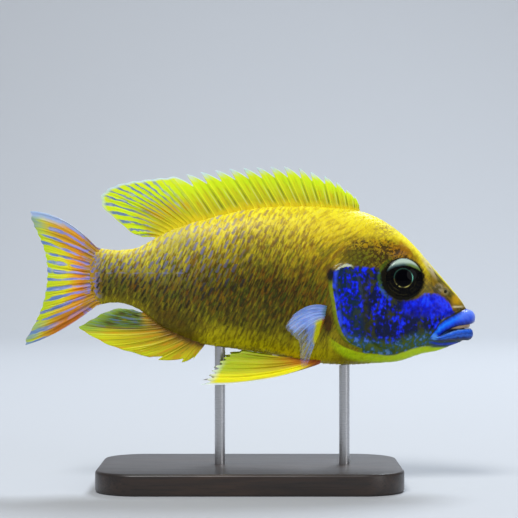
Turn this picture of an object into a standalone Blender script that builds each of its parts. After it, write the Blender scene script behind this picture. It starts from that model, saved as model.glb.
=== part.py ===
"""A still, life-size model of a male peacock cichlid on a plain display stand.

Metres, +Z up. The fish swims level towards +X, with its left side at +Y. The origin is under
the middle of its length, on the surface that the stand's base rests on.

The outlines are tables of millimetres: x forward from mid-length, z up from the body's axis.
"""

from math import cos, hypot, pi, radians, sin

import bmesh
import bpy
from mathutils import Vector

# Driving sizes. The tables below are drawn for a fish 130 mm long
TOTAL_LENGTH = 0.130
MM = TOTAL_LENGTH / 130
AXIS_HEIGHT = 60.0 * MM
GAP = 0.3 * MM
BODY_START = -43.2
BODY_END = 62.7
STEM_FRONT = -28.0

# The body's side view, and its half width and the height of its widest line, from tail to muzzle
BACK = ((-43.2, 7.7), (-37.2, 7.3), (-31.5, 8.3), (-25.8, 11.3), (-20.0, 14.0), (-11.5, 16.5),
        (-1.4, 18.8), (10.0, 19.8), (22.9, 19.4), (31.5, 18.4), (38.7, 15.3), (45.8, 9.7),
        (51.5, 3.3), (57.3, -3.4), (61.0, -8.0), (62.0, -9.9), (62.7, -12.3))
BELLY = ((-43.2, -8.6), (-39.5, -8.0), (-35.8, -8.3), (-30.9, -10.5), (-25.8, -14.5),
         (-20.0, -17.4), (-12.9, -20.0), (-4.3, -21.2), (5.7, -22.8), (15.7, -24.8),
         (25.8, -25.7), (35.8, -25.3), (43.0, -24.6), (48.7, -22.7), (54.4, -21.5),
         (57.8, -20.1), (61.0, -18.7), (62.7, -16.6))
WIDEST = ((-43.2, 0.0), (-28.6, -0.6), (-14.3, -2.4), (0.0, -3.6), (14.3, -4.4), (25.8, -5.4),
          (34.4, -7.2), (43.0, -8.3), (51.5, -10.6), (57.3, -12.9), (62.7, -14.6))
HALF_WIDTH = ((-43.2, 1.7), (-37.2, 2.3), (-28.6, 3.4), (-20.0, 5.0), (-8.6, 7.0), (2.9, 8.7),
              (14.3, 9.7), (22.9, 10.0), (34.4, 9.8), (40.1, 9.0), (45.8, 7.9), (51.5, 6.5),
              (57.3, 4.9), (60.1, 4.1), (62.7, 3.0))
BACK_ROUNDNESS = ((-43.2, 2.0), (0.0, 1.9), (30.0, 2.0), (45.0, 2.4), (62.7, 2.2))
BELLY_ROUNDNESS = ((-43.2, 2.0), (0.0, 2.1), (25.0, 2.4), (45.0, 2.2), (62.7, 2.0))
BODY_SIDES = 32
BODY_STEP = 2.4
HEAD_STEP = 1.3

# Where the head ends and where the lower jaw hangs, across the side view, and the open mouth
GILL_LINE = ((33.5, 24.0), (29.8, 14.3), (25.6, 7.0), (24.2, 2.0), (24.0, -5.7), (25.2, -12.9),
             (27.2, -18.6), (30.0, -22.4), (33.0, -28.5))
JAW_LINE = ((66.0, -14.4), (61.0, -14.5), (58.0, -14.9), (54.4, -16.3), (51.3, -18.2),
            (49.3, -20.3), (48.4, -26.0))
MOUTH_GAPS = (1.3, 1.3, 0.9, 0.3, 0.3, 0.3, 0.3)
WALL_REACH = 16.0

# The gill cover: its front and rear edge by height, and how it lies on the head
COVER_FRONT = ((-20.6, 32.4), (-20.0, 33.6), (-18.6, 33.9), (-15.5, 32.6), (-12.0, 32.1),
               (-2.9, 32.1), (1.0, 31.8), (2.6, 30.8), (3.4, 29.2))
COVER_REAR = ((-20.6, 30.8), (-20.0, 29.2), (-18.0, 26.3), (-12.9, 24.0), (-7.2, 23.0),
              (-2.4, 22.3), (0.6, 22.6), (2.4, 24.0), (3.4, 26.6))
COVER_LOW = -20.6
COVER_HIGH = 3.4
COVER_THICK = 1.1
COVER_LIFT = 0.35
COVER_ROOM = 3.0
COVER_ROWS = 15
COVER_COLUMNS = 8

# Eyes, nostrils and lips
EYE_X = 43.1
EYE_Z = -0.8
EYE_RADIUS = 5.8
EYE_DEPTH = 2.7
EYE_BULGE = 1.25
NOSTRIL_X = 55.6
NOSTRIL_Z = -4.7
NOSTRIL_RADIUS = 0.55
UPPER_LIP = ((51.6, -17.4, 5.8), (53.5, -15.4, 5.5), (55.8, -13.7, 4.9), (58.7, -12.4, 4.0),
             (61.6, -11.7, 2.6), (63.6, -12.3, 0.0))
LOWER_LIP = ((52.0, -18.3, 5.6), (54.6, -17.9, 5.1), (57.3, -17.4, 4.3), (60.1, -17.1, 3.1),
             (62.7, -17.0, 0.0))
UPPER_LIP_DEEP = 1.15
UPPER_LIP_HIGH = 1.8
LOWER_LIP_DEEP = 1.15
LOWER_LIP_HIGH = 1.55
LIP_RINGS = 25
LIP_SIDES = 12

# Fins: half the thickness at the root and at the tip, on a ray and on the web between rays
SPINY_FIN_THICK = ((0.75, 0.24), (0.5, 0.25))
TAIL_FIN_THICK = ((1.0, 0.24), (0.75, 0.22))
PELVIC_FIN_THICK = ((0.8, 0.22), (0.5, 0.22))
PECTORAL_FIN_THICK = ((0.55, 0.22), (0.4, 0.22))

# Fins: ray number, then where that ray leaves the body and where it ends
DORSAL_SPINES = 16
DORSAL_RAYS = 26
DORSAL_LAST_RAYS = 4
DORSAL_NOTCH = 0.33
DORSAL_ROOT_X = ((0, 31.4), (1, 30.3), (3, 26.1), (5, 20.5), (7, 14.9), (9, 8.4), (12, -2.3),
                 (15, -13.2), (19, -18.8), (22, -22.9), (25, -27.0))
DORSAL_TIP = ((0, 31.3, 20.2), (1, 30.1, 22.5), (2, 27.5, 24.6), (3, 24.6, 26.9),
              (4, 21.3, 28.4), (5, 17.2, 29.6), (6, 13.9, 30.7), (7, 9.7, 31.1),
              (9, 1.9, 30.8), (11, -5.9, 30.4), (13, -14.2, 29.5), (15, -22.3, 28.2),
              (17, -30.0, 27.3), (19, -37.4, 26.0), (20, -40.6, 24.7), (21, -42.6, 22.6),
              (22, -42.0, 19.2), (23, -38.0, 15.6), (24, -34.0, 12.2), (25, -30.6, 10.9))
TAIL_RAYS = 18
TAIL_ROOT_Z = ((0, 7.5), (17, -8.4))
TAIL_TIP = ((0, -63.0, 18.3), (1, -62.7, 16.0), (3, -60.8, 11.6), (5, -59.1, 7.4),
            (8, -58.0, 1.4), (11, -58.5, -5.2), (13, -59.9, -10.2), (15, -62.2, -14.9),
            (16, -64.2, -18.4), (17, -64.4, -20.1))
ANAL_SPINES = 3
ANAL_RAYS = 12
ANAL_ROOT_X = ((0, -12.9), (2, -16.6), (5, -21.7), (8, -26.2), (11, -30.6))
ANAL_TIP = ((0, -16.4, -24.2), (1, -19.6, -25.0), (2, -26.4, -24.3), (3, -31.4, -22.9),
            (5, -41.0, -19.8), (6, -45.8, -17.2), (7, -48.9, -15.0), (8, -46.0, -13.1),
            (9, -42.5, -11.1), (10, -38.0, -9.6), (11, -33.4, -9.9))
PELVIC_RAYS = 9
PELVIC_ROOT = ((0, 20.6, 3.6), (4, 17.6, 3.2), (8, 14.2, 2.2))
PELVIC_TIP = ((0, -13.7, -30.7, 9.6), (1, -11.9, -29.2, 9.3), (3, -10.6, -26.9, 8.4),
              (5, -8.4, -25.0, 7.0), (7, -5.2, -23.6, 5.4), (8, -2.0, -23.0, 4.4))
PECTORAL_RAYS = 13
PECTORAL_ROOT = ((0, 21.7, -8.6), (6, 20.8, -12.6), (12, 19.2, -16.8))
PECTORAL_TIP = ((0, 10.6, -12.6, 17.5), (2, 10.3, -14.0, 19.0), (4, 11.4, -16.6, 20.5),
                (6, 13.9, -18.2, 21.5), (8, 14.4, -21.8, 20.0), (9, 15.1, -25.1, 19.0),
                (10, 16.0, -23.4, 17.0), (12, 16.6, -20.4, 13.5))

# The stand
BASE_LENGTH = 86.0 * MM
BASE_WIDTH = 52.0 * MM
BASE_THICK = 6.0 * MM
BASE_CORNER = 12.0 * MM
BASE_EDGE = 0.8 * MM
ROD_RADIUS = 1.5 * MM
ROD_FRONT_X = 27.0
ROD_REAR_X = -8.6
ROD_SIDES = 20


def hermite(low, high, rise_low, rise_high, t):
    """A cubic from low to high that starts and ends with the two rises."""
    return ((1 + 2 * t) * (1 - t) ** 2 * low + t * (1 - t) ** 2 * rise_low
            + t * t * (3 - 2 * t) * high + t * t * (t - 1) * rise_high)


def curve_through(points):
    """A smooth function through (at, value) pairs, as value of at."""
    table = sorted(points)
    ats = [p[0] for p in table]
    values = [p[1] for p in table]
    steps = [(values[i + 1] - values[i]) / (ats[i + 1] - ats[i]) for i in range(len(ats) - 1)]
    slopes = [steps[0], *[(a + b) / 2 for a, b in zip(steps, steps[1:])], steps[-1]]

    def value_at(at):
        at = min(max(at, ats[0]), ats[-1])
        i = max(k for k in range(len(ats) - 1) if ats[k] <= at or k == 0)
        run = ats[i + 1] - ats[i]
        return hermite(values[i], values[i + 1], slopes[i] * run, slopes[i + 1] * run,
                       (at - ats[i]) / run)

    return value_at


back_z = curve_through(BACK)
belly_z = curve_through(BELLY)
widest_z = curve_through(WIDEST)
half_width = curve_through(HALF_WIDTH)
back_roundness = curve_through(BACK_ROUNDNESS)
belly_roundness = curve_through(BELLY_ROUNDNESS)


def place(x, y, z):
    """The point in metres that lies x, y, z millimetres from the body's axis at mid-length."""
    return Vector((x * MM, y * MM, AXIS_HEIGHT + z * MM))


def side_y(x, z):
    """Half the body's width at a point of its side view."""
    middle = widest_z(x)
    if z >= middle:
        reach, power = back_z(x) - middle, back_roundness(x)
    else:
        reach, power = middle - belly_z(x), belly_roundness(x)
    share = min(abs(z - middle) / reach, 1.0)
    return half_width(x) * (1 - share ** power) ** (1 / power)


def underside_z(x, y):
    """Height of the body's underside, y to the side of its midline."""
    power = belly_roundness(x)
    share = min(abs(y) / half_width(x), 1.0)
    middle = widest_z(x)
    return middle - (middle - belly_z(x)) * (1 - share ** power) ** (1 / power)


def ring_point(x, turn):
    """A point of the body's cross-section at x. turn runs from 0 at the back, by the left side."""
    up, out = cos(turn), sin(turn)
    middle = widest_z(x)
    if up >= 0:
        reach, power = back_z(x) - middle, back_roundness(x)
    else:
        reach, power = middle - belly_z(x), belly_roundness(x)
    rise = reach * abs(up) ** (2 / power)
    y = half_width(x) * abs(out) ** (2 / power)
    return place(x, y if out >= 0 else -y, middle + (rise if up >= 0 else -rise))


def material(name, colour, roughness, metallic=0.0):
    made = bpy.data.materials.new(name)
    made.use_nodes = True
    shader = made.node_tree.nodes["Principled BSDF"]
    shader.inputs["Base Color"].default_value = (*colour, 1.0)
    shader.inputs["Roughness"].default_value = roughness
    shader.inputs["Metallic"].default_value = metallic
    return made


def mesh_object(name, points, faces, finish=None):
    mesh = bpy.data.meshes.new(name)
    mesh.from_pydata([tuple(p) for p in points], [], faces)
    mesh.update()
    made = bpy.data.objects.new(name, mesh)
    bpy.context.scene.collection.objects.link(made)
    if finish:
        mesh.materials.append(finish)
    return made


def face_outwards(made):
    shape = bmesh.new()
    shape.from_mesh(made.data)
    bmesh.ops.recalc_face_normals(shape, faces=shape.faces)
    shape.to_mesh(made.data)
    shape.free()
    return made


def round_shaded(made, angle=40):
    made.data.shade_smooth()
    made.data.set_sharp_from_angle(angle=radians(angle))
    return made


def tube(name, rings, finish=None):
    """A closed skin over a row of rings, each with the same number of points, capped at both ends."""
    sides = len(rings[0])
    points = [p for ring in rings for p in ring]
    faces = []
    for i in range(len(rings) - 1):
        for j in range(sides):
            a, b = i * sides + j, i * sides + (j + 1) % sides
            faces.append((a, b, b + sides, a + sides))
    last = (len(rings) - 1) * sides
    faces.append(tuple(range(sides - 1, -1, -1)))
    faces.append(tuple(range(last, last + sides)))
    return face_outwards(mesh_object(name, points, faces, finish))


def slab(name, one_side, other_side, finish=None):
    """A closed sheet between two grids of points. Both faces are split into like triangles."""
    columns, rows = len(one_side), len(one_side[0])
    points = [p for column in one_side for p in column] + [p for column in other_side for p in column]
    half = columns * rows

    def at(i, j, side):
        return side * half + i * rows + j

    faces = []
    for i in range(columns - 1):
        for j in range(rows - 1):
            for side in (0, 1):
                a, b, c, d = at(i, j, side), at(i + 1, j, side), at(i + 1, j + 1, side), at(i, j + 1, side)
                split = [(a, b, c), (a, c, d)]
                faces += split if side == 0 else [f[::-1] for f in split]
    rim = [(i, 0) for i in range(columns)] + [(columns - 1, j) for j in range(1, rows)]
    rim += [(i, rows - 1) for i in range(columns - 2, -1, -1)] + [(0, j) for j in range(rows - 2, 0, -1)]
    for (i, j), (k, m) in zip(rim, rim[1:] + rim[:1]):
        a, b, c, d = at(i, j, 0), at(k, m, 0), at(k, m, 1), at(i, j, 1)
        faces += [(b, a, d), (b, d, c)]
    return face_outwards(mesh_object(name, points, faces, finish))


def applied(made):
    """The object with its modifiers worked into its mesh."""
    graph = bpy.context.evaluated_depsgraph_get()
    mesh = bpy.data.meshes.new_from_object(made.evaluated_get(graph))
    made.modifiers.clear()
    made.data = mesh
    return made


def cut_away(made, cutters):
    """Takes the cutters' shapes out of the object, and then removes the cutters."""
    gathered = bpy.data.collections.new("cutters")
    bpy.context.scene.collection.children.link(gathered)
    for cutter in cutters:
        gathered.objects.link(cutter)
    cut = made.modifiers.new("cut", "BOOLEAN")
    cut.operation = "DIFFERENCE"
    cut.operand_type = "COLLECTION"
    cut.collection = gathered
    cut.solver = "EXACT"
    bpy.context.view_layer.update()
    applied(made)
    for cutter in cutters:
        bpy.data.objects.remove(cutter)
    bpy.data.collections.remove(gathered)
    return made


def loose_parts(made):
    """Parts the object into its separate closed bodies, the largest first."""
    shape = bmesh.new()
    shape.from_mesh(made.data)
    bodies, seen = [], set()
    for start in shape.faces:
        if start.index in seen:
            continue
        body, waiting = [], [start]
        seen.add(start.index)
        while waiting:
            face = waiting.pop()
            body.append(face)
            for edge in face.edges:
                for other in edge.link_faces:
                    if other.index not in seen:
                        seen.add(other.index)
                        waiting.append(other)
        corners = sorted({v.index: v.co.copy() for f in body for v in f.verts}.items())
        order = {index: k for k, (index, _) in enumerate(corners)}
        bodies.append(([co for _, co in corners], [[order[v.index] for v in f.verts] for f in body]))
    shape.free()
    return sorted(bodies, key=lambda body: -len(body[1]))


def wall_along(name, path, gaps=None):
    """A thin wall across the body along a path of its side view, to part it into pieces."""
    walls = ([], [])
    for i, (x, z) in enumerate(path):
        half_gap = (gaps[i] if gaps else GAP / MM) / 2
        before, after = path[max(i - 1, 0)], path[min(i + 1, len(path) - 1)]
        run = hypot(after[0] - before[0], after[1] - before[1])
        aside = (-(after[1] - before[1]) / run * half_gap, (after[0] - before[0]) / run * half_gap)
        for wall, sign in zip(walls, (1, -1)):
            wall.append([place(x + sign * aside[0], y, z + sign * aside[1]) for y in (-WALL_REACH, WALL_REACH)])
    return slab(name, walls[0], walls[1])


def smooth_path(points, count):
    """count points evenly along a smooth curve through the given points."""
    lengths = [0.0]
    for a, b in zip(points, points[1:]):
        lengths.append(lengths[-1] + sum((q - p) ** 2 for p, q in zip(a, b)) ** 0.5)
    curves = [curve_through(list(zip(lengths, values))) for values in zip(*points)]
    return [tuple(c(lengths[-1] * k / (count - 1)) for c in curves) for k in range(count)]


def ball(name, centre, radii, rings=10, sides=20, finish=None):
    """A closed ball with its poles on Y."""
    points = []
    for i in range(1, rings):
        lean = pi * i / rings
        for j in range(sides):
            turn = 2 * pi * j / sides
            points.append(centre + Vector((radii[0] * sin(lean) * cos(turn), radii[1] * cos(lean),
                                           radii[2] * sin(lean) * sin(turn))))
    faces = []
    for i in range(rings - 2):
        for j in range(sides):
            a, b = i * sides + j, i * sides + (j + 1) % sides
            faces.append((a, b, b + sides, a + sides))
    points += [centre + Vector((0, radii[1], 0)), centre - Vector((0, radii[1], 0))]
    top, bottom, last = len(points) - 2, len(points) - 1, (rings - 2) * sides
    for j in range(sides):
        k = (j + 1) % sides
        faces.append((top, k, j))
        faces.append((bottom, last + j, last + k))
    return face_outwards(mesh_object(name, points, faces, finish))


def eye_centre(side):
    return place(EYE_X, side * (side_y(EYE_X, EYE_Z) + EYE_BULGE - EYE_DEPTH), EYE_Z)


def eye_ball(name, side, grown=0.0, finish=None):
    wide, deep = (EYE_RADIUS + grown) * MM, (EYE_DEPTH + grown) * MM
    return ball(name, eye_centre(side), (wide, deep, wide), finish=finish)


def nostril_pit(side):
    centre = place(NOSTRIL_X, side * side_y(NOSTRIL_X, NOSTRIL_Z), NOSTRIL_Z)
    radius = NOSTRIL_RADIUS * MM
    return ball("nostril", centre, (radius, radius, radius), rings=6, sides=10)


def cover_plate(name, side, grown=0.0, open_out=False, finish=None):
    """The gill cover over the side of the head, or the larger room that is cut for it."""
    front, rear = curve_through(COVER_FRONT), curve_through(COVER_REAR)
    outer, inner = [], []
    for i in range(COVER_COLUMNS):
        share = i / (COVER_COLUMNS - 1)
        outer_column, inner_column = [], []
        for j in range(COVER_ROWS):
            down = j / (COVER_ROWS - 1)
            z = COVER_LOW + (COVER_HIGH - COVER_LOW) * (1 - cos(pi * down)) / 2
            x = (rear(z) - grown) * share + (front(z) + grown) * (1 - share)
            z += grown * (2 * down - 1)
            lift = COVER_ROOM if open_out else COVER_LIFT * share
            skin = side_y(x, z)
            outer_column.append(place(x, side * (skin + lift), z))
            inner_column.append(place(x, side * (skin + COVER_LIFT * share * (not open_out)
                                                 - COVER_THICK - grown), z))
        outer.append(outer_column)
        inner.append(inner_column)
    return slab(name, outer, inner, finish)


def lip(name, half_path, thick_out, thick_up, grown=0.0, finish=None):
    """A lip round the front of the mouth, from one corner to the other, thin at its corners."""
    right = [(x, z, -y) for x, z, y in half_path]
    left = [(x, z, y) for x, z, y in reversed(half_path[:-1])]
    path = [place(x, y, z) for x, z, y in smooth_path(right + left, LIP_RINGS)]
    rings = []
    for i, centre in enumerate(path):
        along = (path[min(i + 1, LIP_RINGS - 1)] - path[max(i - 1, 0)]).normalized()
        out = along.cross(Vector((0, 0, 1))).normalized()
        up = out.cross(along)
        share = sin(pi * (i + 0.6) / (LIP_RINGS + 0.2)) ** 0.45
        wide, tall = (thick_out * share + grown) * MM, (thick_up * share + grown) * MM
        rings.append([centre + out * wide * cos(2 * pi * j / LIP_SIDES)
                      + up * tall * sin(2 * pi * j / LIP_SIDES) for j in range(LIP_SIDES)])
    return round_shaded(tube(name, rings, finish))


def upper_lip(name, grown=0.0, finish=None):
    return lip(name, UPPER_LIP, UPPER_LIP_DEEP, UPPER_LIP_HIGH, grown, finish)


def lower_lip(name, grown=0.0, finish=None):
    return lip(name, LOWER_LIP, LOWER_LIP_DEEP, LOWER_LIP_HIGH, grown, finish)


def make_flesh(finish):
    """The body in one closed skin, then parted into head, lower jaw, torso and tail stem."""
    stations, x = [], BODY_START
    while x < BODY_END:
        stations.append(x)
        x += BODY_STEP if x < GILL_LINE[3][0] else HEAD_STEP
    stations.append(BODY_END)
    rings = [[ring_point(x, 2 * pi * (j + 0.5) / BODY_SIDES) for j in range(BODY_SIDES)]
             for x in stations]
    whole = tube("whole", rings, finish)
    clear = GAP / MM
    rooms = [upper_lip("room", clear), lower_lip("room", clear)]
    for side in (1, -1):
        rooms += [eye_ball("room", side, clear), nostril_pit(side),
                  cover_plate("room", side, clear, open_out=True)]
    cut_away(whole, rooms)
    stem_line = ((STEM_FRONT, 20.0), (STEM_FRONT, -24.0))
    cut_away(whole, [wall_along("gill_line", smooth_path(GILL_LINE, 24)),
                     wall_along("jaw_line", JAW_LINE, MOUTH_GAPS),
                     wall_along("stem_line", stem_line)])
    pieces = sorted(loose_parts(whole)[:4], key=lambda piece: min(p.x for p in piece[0]))
    bpy.data.objects.remove(whole)
    for name, (points, faces) in zip(("tail_stem", "torso", "head", "lower_jaw"), pieces):
        round_shaded(mesh_object(name, points, faces, finish))


def ray_fan(name, rays, point_at, thickness, rows, finish, reach_at, seat, between=(0.2, 0.8)):
    """A fin of rays and webs. point_at(ray, share) is its middle surface, from root to tip.

    thickness holds its half thicknesses at the root and the tip, on a ray and between rays.
    reach_at(ray) shortens the web between tips, and seat moves a root point onto the body.
    """
    crest, web = thickness
    columns = []
    for ray in range(rays):
        columns.append((ray, True))
        if ray < rays - 1:
            columns += [(ray + past, False) for past in between]
    one_side, other_side = [], []
    step = 0.02
    for ray, on_ray in columns:
        reach = 1.0 if on_ray else reach_at(ray)
        low, high = max(ray - step, 0), min(ray + step, rays - 1)
        one, other = [], []
        for j in range(rows + 1):
            share = reach * j / rows
            centre = point_at(ray, share)
            across = point_at(high, share) - point_at(low, share)
            along = point_at(ray, share + step) - point_at(ray, share - step)
            out = across.cross(along).normalized()
            root, tip = crest if on_ray else web
            thick = (root + (tip - root) * (j / rows) ** 0.7) * MM
            pair = [centre + out * thick, centre - out * thick]
            if j == 0:
                pair = [seat(p) for p in pair]
            one.append(pair[0])
            other.append(pair[1])
        one_side.append(one)
        other_side.append(other)
    return round_shaded(slab(name, one_side, other_side, finish), 60)


def bowed_ray(root, tip, bow, share):
    """A point along a ray that bows by up to bow at its middle."""
    return root.lerp(tip, share) + bow * 4 * share * (1 - share)


def toothed_reach(first_soft_ray, notch):
    """How far the web reaches: each spine has a notch behind it that fills up towards the next."""
    def reach_at(ray):
        if ray > first_soft_ray:
            return 0.985
        past = ray % 1
        return 1 - notch * (1 - past) ** 1.2
    return reach_at


def make_dorsal_fin(finish):
    root_x = curve_through(DORSAL_ROOT_X)
    tip_x = curve_through([(ray, x) for ray, x, _ in DORSAL_TIP])
    tip_z = curve_through([(ray, z) for ray, _, z in DORSAL_TIP])

    def point_at(ray, share):
        x = root_x(ray)
        root = place(x, 0, back_z(x) + GAP / MM)
        softness = max(ray - DORSAL_SPINES, 0) / (DORSAL_RAYS - DORSAL_SPINES)
        last = min(max(DORSAL_RAYS - 1 - ray, 0) / DORSAL_LAST_RAYS, 1)
        bow = Vector((-0.2, 0, 1.0)) * (0.4 + 1.6 * softness) * (0.1 + 0.9 * last) * MM
        sway = Vector((0, 0.7 * sin(ray * 0.55) * share ** 2 * MM, 0))
        return bowed_ray(root, place(tip_x(ray), 0, tip_z(ray)), bow, share) + sway

    def seat(point):
        return Vector((point.x, point.y, AXIS_HEIGHT + back_z(point.x / MM) * MM + GAP))

    return ray_fan("dorsal_fin", DORSAL_RAYS, point_at, SPINY_FIN_THICK, 5, finish,
                   toothed_reach(DORSAL_SPINES - 1, DORSAL_NOTCH), seat, (0.18, 0.5, 0.82))


def make_tail_fin(finish):
    root_z = curve_through(TAIL_ROOT_Z)
    tip_x = curve_through([(ray, x) for ray, x, _ in TAIL_TIP])
    tip_z = curve_through([(ray, z) for ray, _, z in TAIL_TIP])
    root_at_x = BODY_START - GAP / MM
    middle = (TAIL_RAYS - 1) / 2

    def point_at(ray, share):
        root = place(root_at_x, 0, root_z(ray))
        spread = (middle - ray) / middle
        bow = Vector((0, 0, (2.7 if spread > 0 else 1.4) * spread ** 3 * MM))
        sway = Vector((0, 1.1 * sin(ray * 0.37 + 0.6) * share ** 2 * MM, 0))
        return bowed_ray(root, place(tip_x(ray), 0, tip_z(ray)), bow, share) + sway

    def seat(point):
        z = (point.z - AXIS_HEIGHT) / MM
        y = max(side_y(BODY_START, z), 0.3) * MM
        return Vector((root_at_x * MM, y if point.y > 0 else -y, point.z))

    return ray_fan("tail_fin", TAIL_RAYS, point_at, TAIL_FIN_THICK, 6, finish,
                   lambda ray: 0.97, seat)


def make_anal_fin(finish):
    root_x = curve_through(ANAL_ROOT_X)
    tip_x = curve_through([(ray, x) for ray, x, _ in ANAL_TIP])
    tip_z = curve_through([(ray, z) for ray, _, z in ANAL_TIP])

    def point_at(ray, share):
        x = root_x(ray)
        root = place(x, 0, belly_z(x) - GAP / MM)
        bow = Vector((-0.2, 0, -0.7)) * min(ray / 4, 1) * MM
        sway = Vector((0, 0.8 * sin(ray * 0.5 + 1) * share ** 2 * MM, 0))
        return bowed_ray(root, place(tip_x(ray), 0, tip_z(ray)), bow, share) + sway

    def seat(point):
        return Vector((point.x, point.y, AXIS_HEIGHT + belly_z(point.x / MM) * MM - GAP))

    return ray_fan("anal_fin", ANAL_RAYS, point_at, SPINY_FIN_THICK, 5, finish,
                   toothed_reach(ANAL_SPINES - 0.5, 0.25), seat)


def make_pelvic_fin(name, side, finish):
    root_x = curve_through([(ray, x) for ray, x, _ in PELVIC_ROOT])
    root_y = curve_through([(ray, y) for ray, _, y in PELVIC_ROOT])
    tips = [curve_through([(tip[0], tip[k]) for tip in PELVIC_TIP]) for k in (1, 2, 3)]

    def point_at(ray, share):
        x, y = root_x(ray), root_y(ray)
        root = place(x, side * y, underside_z(x, y) - GAP / MM)
        tip = place(tips[0](ray), side * tips[2](ray), tips[1](ray))
        front = max(1 - ray / (PELVIC_RAYS - 1), 0)
        return bowed_ray(root, tip, Vector((0, side * 0.5, -1.9 * front)) * MM, share)

    def seat(point):
        x, y = point.x / MM, point.y / MM
        return Vector((point.x, point.y, AXIS_HEIGHT + underside_z(x, y) * MM - GAP))

    return ray_fan(name, PELVIC_RAYS, point_at, PELVIC_FIN_THICK, 6, finish,
                   lambda ray: 0.95, seat)


def make_pectoral_fin(name, side, finish):
    root_x = curve_through([(ray, x) for ray, x, _ in PECTORAL_ROOT])
    root_z = curve_through([(ray, z) for ray, _, z in PECTORAL_ROOT])
    tips = [curve_through([(tip[0], tip[k]) for tip in PECTORAL_TIP]) for k in (1, 2, 3)]

    def point_at(ray, share):
        x, z = root_x(ray), root_z(ray)
        root = place(x, side * (side_y(x, z) + GAP / MM), z)
        tip = place(tips[0](ray), side * tips[2](ray), tips[1](ray))
        upper = max(1 - ray / (PECTORAL_RAYS - 1), 0)
        bow = Vector((-0.6, side * 1.4, 2.4 * upper)) * MM
        return bowed_ray(root, tip, bow, share)

    def seat(point):
        x, z = point.x / MM, (point.z - AXIS_HEIGHT) / MM
        return Vector((point.x, side * (side_y(x, z) * MM + GAP), point.z))

    return ray_fan(name, PECTORAL_RAYS, point_at, PECTORAL_FIN_THICK, 5, finish,
                   lambda ray: 0.97, seat)


def make_base(finish):
    """A flat plate with round corners, on the floor."""
    outline = []
    for quarter, (sx, sy) in enumerate(((1, 1), (-1, 1), (-1, -1), (1, -1))):
        for k in range(7):
            turn = pi / 2 * (quarter + k / 6)
            outline.append((sx * (BASE_LENGTH / 2 - BASE_CORNER) + BASE_CORNER * cos(turn),
                            sy * (BASE_WIDTH / 2 - BASE_CORNER) + BASE_CORNER * sin(turn)))
    levels = ((0.0, 0.0), (BASE_THICK - BASE_EDGE, 0.0), (BASE_THICK, BASE_EDGE))
    rings = []
    for z, inset in levels:
        shrink_x, shrink_y = 1 - 2 * inset / BASE_LENGTH, 1 - 2 * inset / BASE_WIDTH
        rings.append([Vector((x * shrink_x, y * shrink_y, z)) for x, y in outline])
    return round_shaded(tube("stand_base", rings, finish), 30)


def make_rod(name, x, finish):
    """A rod from the base up to the belly, with its top end cut to the belly's shape."""
    rings = []
    for end in (0, 1):
        ring = []
        for k in range(ROD_SIDES):
            turn = 2 * pi * k / ROD_SIDES
            px, py = x + ROD_RADIUS / MM * cos(turn), ROD_RADIUS / MM * sin(turn)
            top = AXIS_HEIGHT + underside_z(px, py) * MM - GAP
            ring.append(Vector((px * MM, py * MM, top if end else BASE_THICK + GAP)))
        rings.append(ring)
    return round_shaded(tube(name, rings, finish), 30)


def main():
    for old in list(bpy.data.objects):
        bpy.data.objects.remove(old)
    skin = material("skin", (0.80, 0.58, 0.03), 0.45)
    face = material("face", (0.05, 0.10, 0.75), 0.40)
    lips = material("lips", (0.12, 0.32, 0.90), 0.35)
    fins = material("fins", (0.90, 0.80, 0.04), 0.45)
    clear_fin = material("clear_fin", (0.55, 0.65, 0.90), 0.35)
    eyes = material("eyes", (0.01, 0.01, 0.012), 0.08)
    base = material("base", (0.045, 0.028, 0.020), 0.4)
    rods = material("rods", (0.62, 0.62, 0.64), 0.3, 1.0)
    make_flesh(skin)
    upper_lip("upper_lip", finish=lips)
    lower_lip("lower_lip", finish=lips)
    make_dorsal_fin(fins)
    make_tail_fin(fins)
    make_anal_fin(fins)
    for word, side in (("left", 1), ("right", -1)):
        round_shaded(eye_ball(f"eye_{word}", side, finish=eyes))
        round_shaded(cover_plate(f"gill_cover_{word}", side, finish=face))
        make_pelvic_fin(f"pelvic_fin_{word}", side, fins)
        make_pectoral_fin(f"pectoral_fin_{word}", side, clear_fin)
    make_base(base)
    make_rod("stand_rod_front", ROD_FRONT_X, rods)
    make_rod("stand_rod_rear", ROD_REAR_X, rods)


main()
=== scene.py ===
"""The looks of a still, life-size model of a male peacock cichlid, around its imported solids.

Metres, in the frame of the solids: +X to the snout, +Z up, the fish's left side at +Y.
Shapes are worked out in millimetres from mid-length and from the body's axis, as the solids are.
"""

from math import cos, pi, radians, sin

import bmesh
import bpy
import numpy as np
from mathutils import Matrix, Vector

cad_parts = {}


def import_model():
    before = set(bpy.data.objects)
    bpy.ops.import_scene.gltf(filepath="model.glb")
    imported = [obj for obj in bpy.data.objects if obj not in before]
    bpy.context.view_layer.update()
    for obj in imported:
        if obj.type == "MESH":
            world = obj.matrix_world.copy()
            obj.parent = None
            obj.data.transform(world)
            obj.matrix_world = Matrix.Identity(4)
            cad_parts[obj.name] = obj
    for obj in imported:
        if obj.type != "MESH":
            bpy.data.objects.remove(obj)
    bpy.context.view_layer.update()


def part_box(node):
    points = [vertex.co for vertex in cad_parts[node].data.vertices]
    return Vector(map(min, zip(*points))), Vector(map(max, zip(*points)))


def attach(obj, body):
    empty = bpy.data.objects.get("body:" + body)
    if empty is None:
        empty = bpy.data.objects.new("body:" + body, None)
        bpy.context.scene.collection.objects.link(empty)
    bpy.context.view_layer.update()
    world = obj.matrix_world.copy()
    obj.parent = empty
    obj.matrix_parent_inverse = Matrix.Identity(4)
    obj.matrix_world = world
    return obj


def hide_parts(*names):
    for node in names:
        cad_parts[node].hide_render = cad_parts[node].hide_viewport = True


# Driving sizes, as in the solids
MM = 0.001
AXIS_HEIGHT = 0.060
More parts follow.
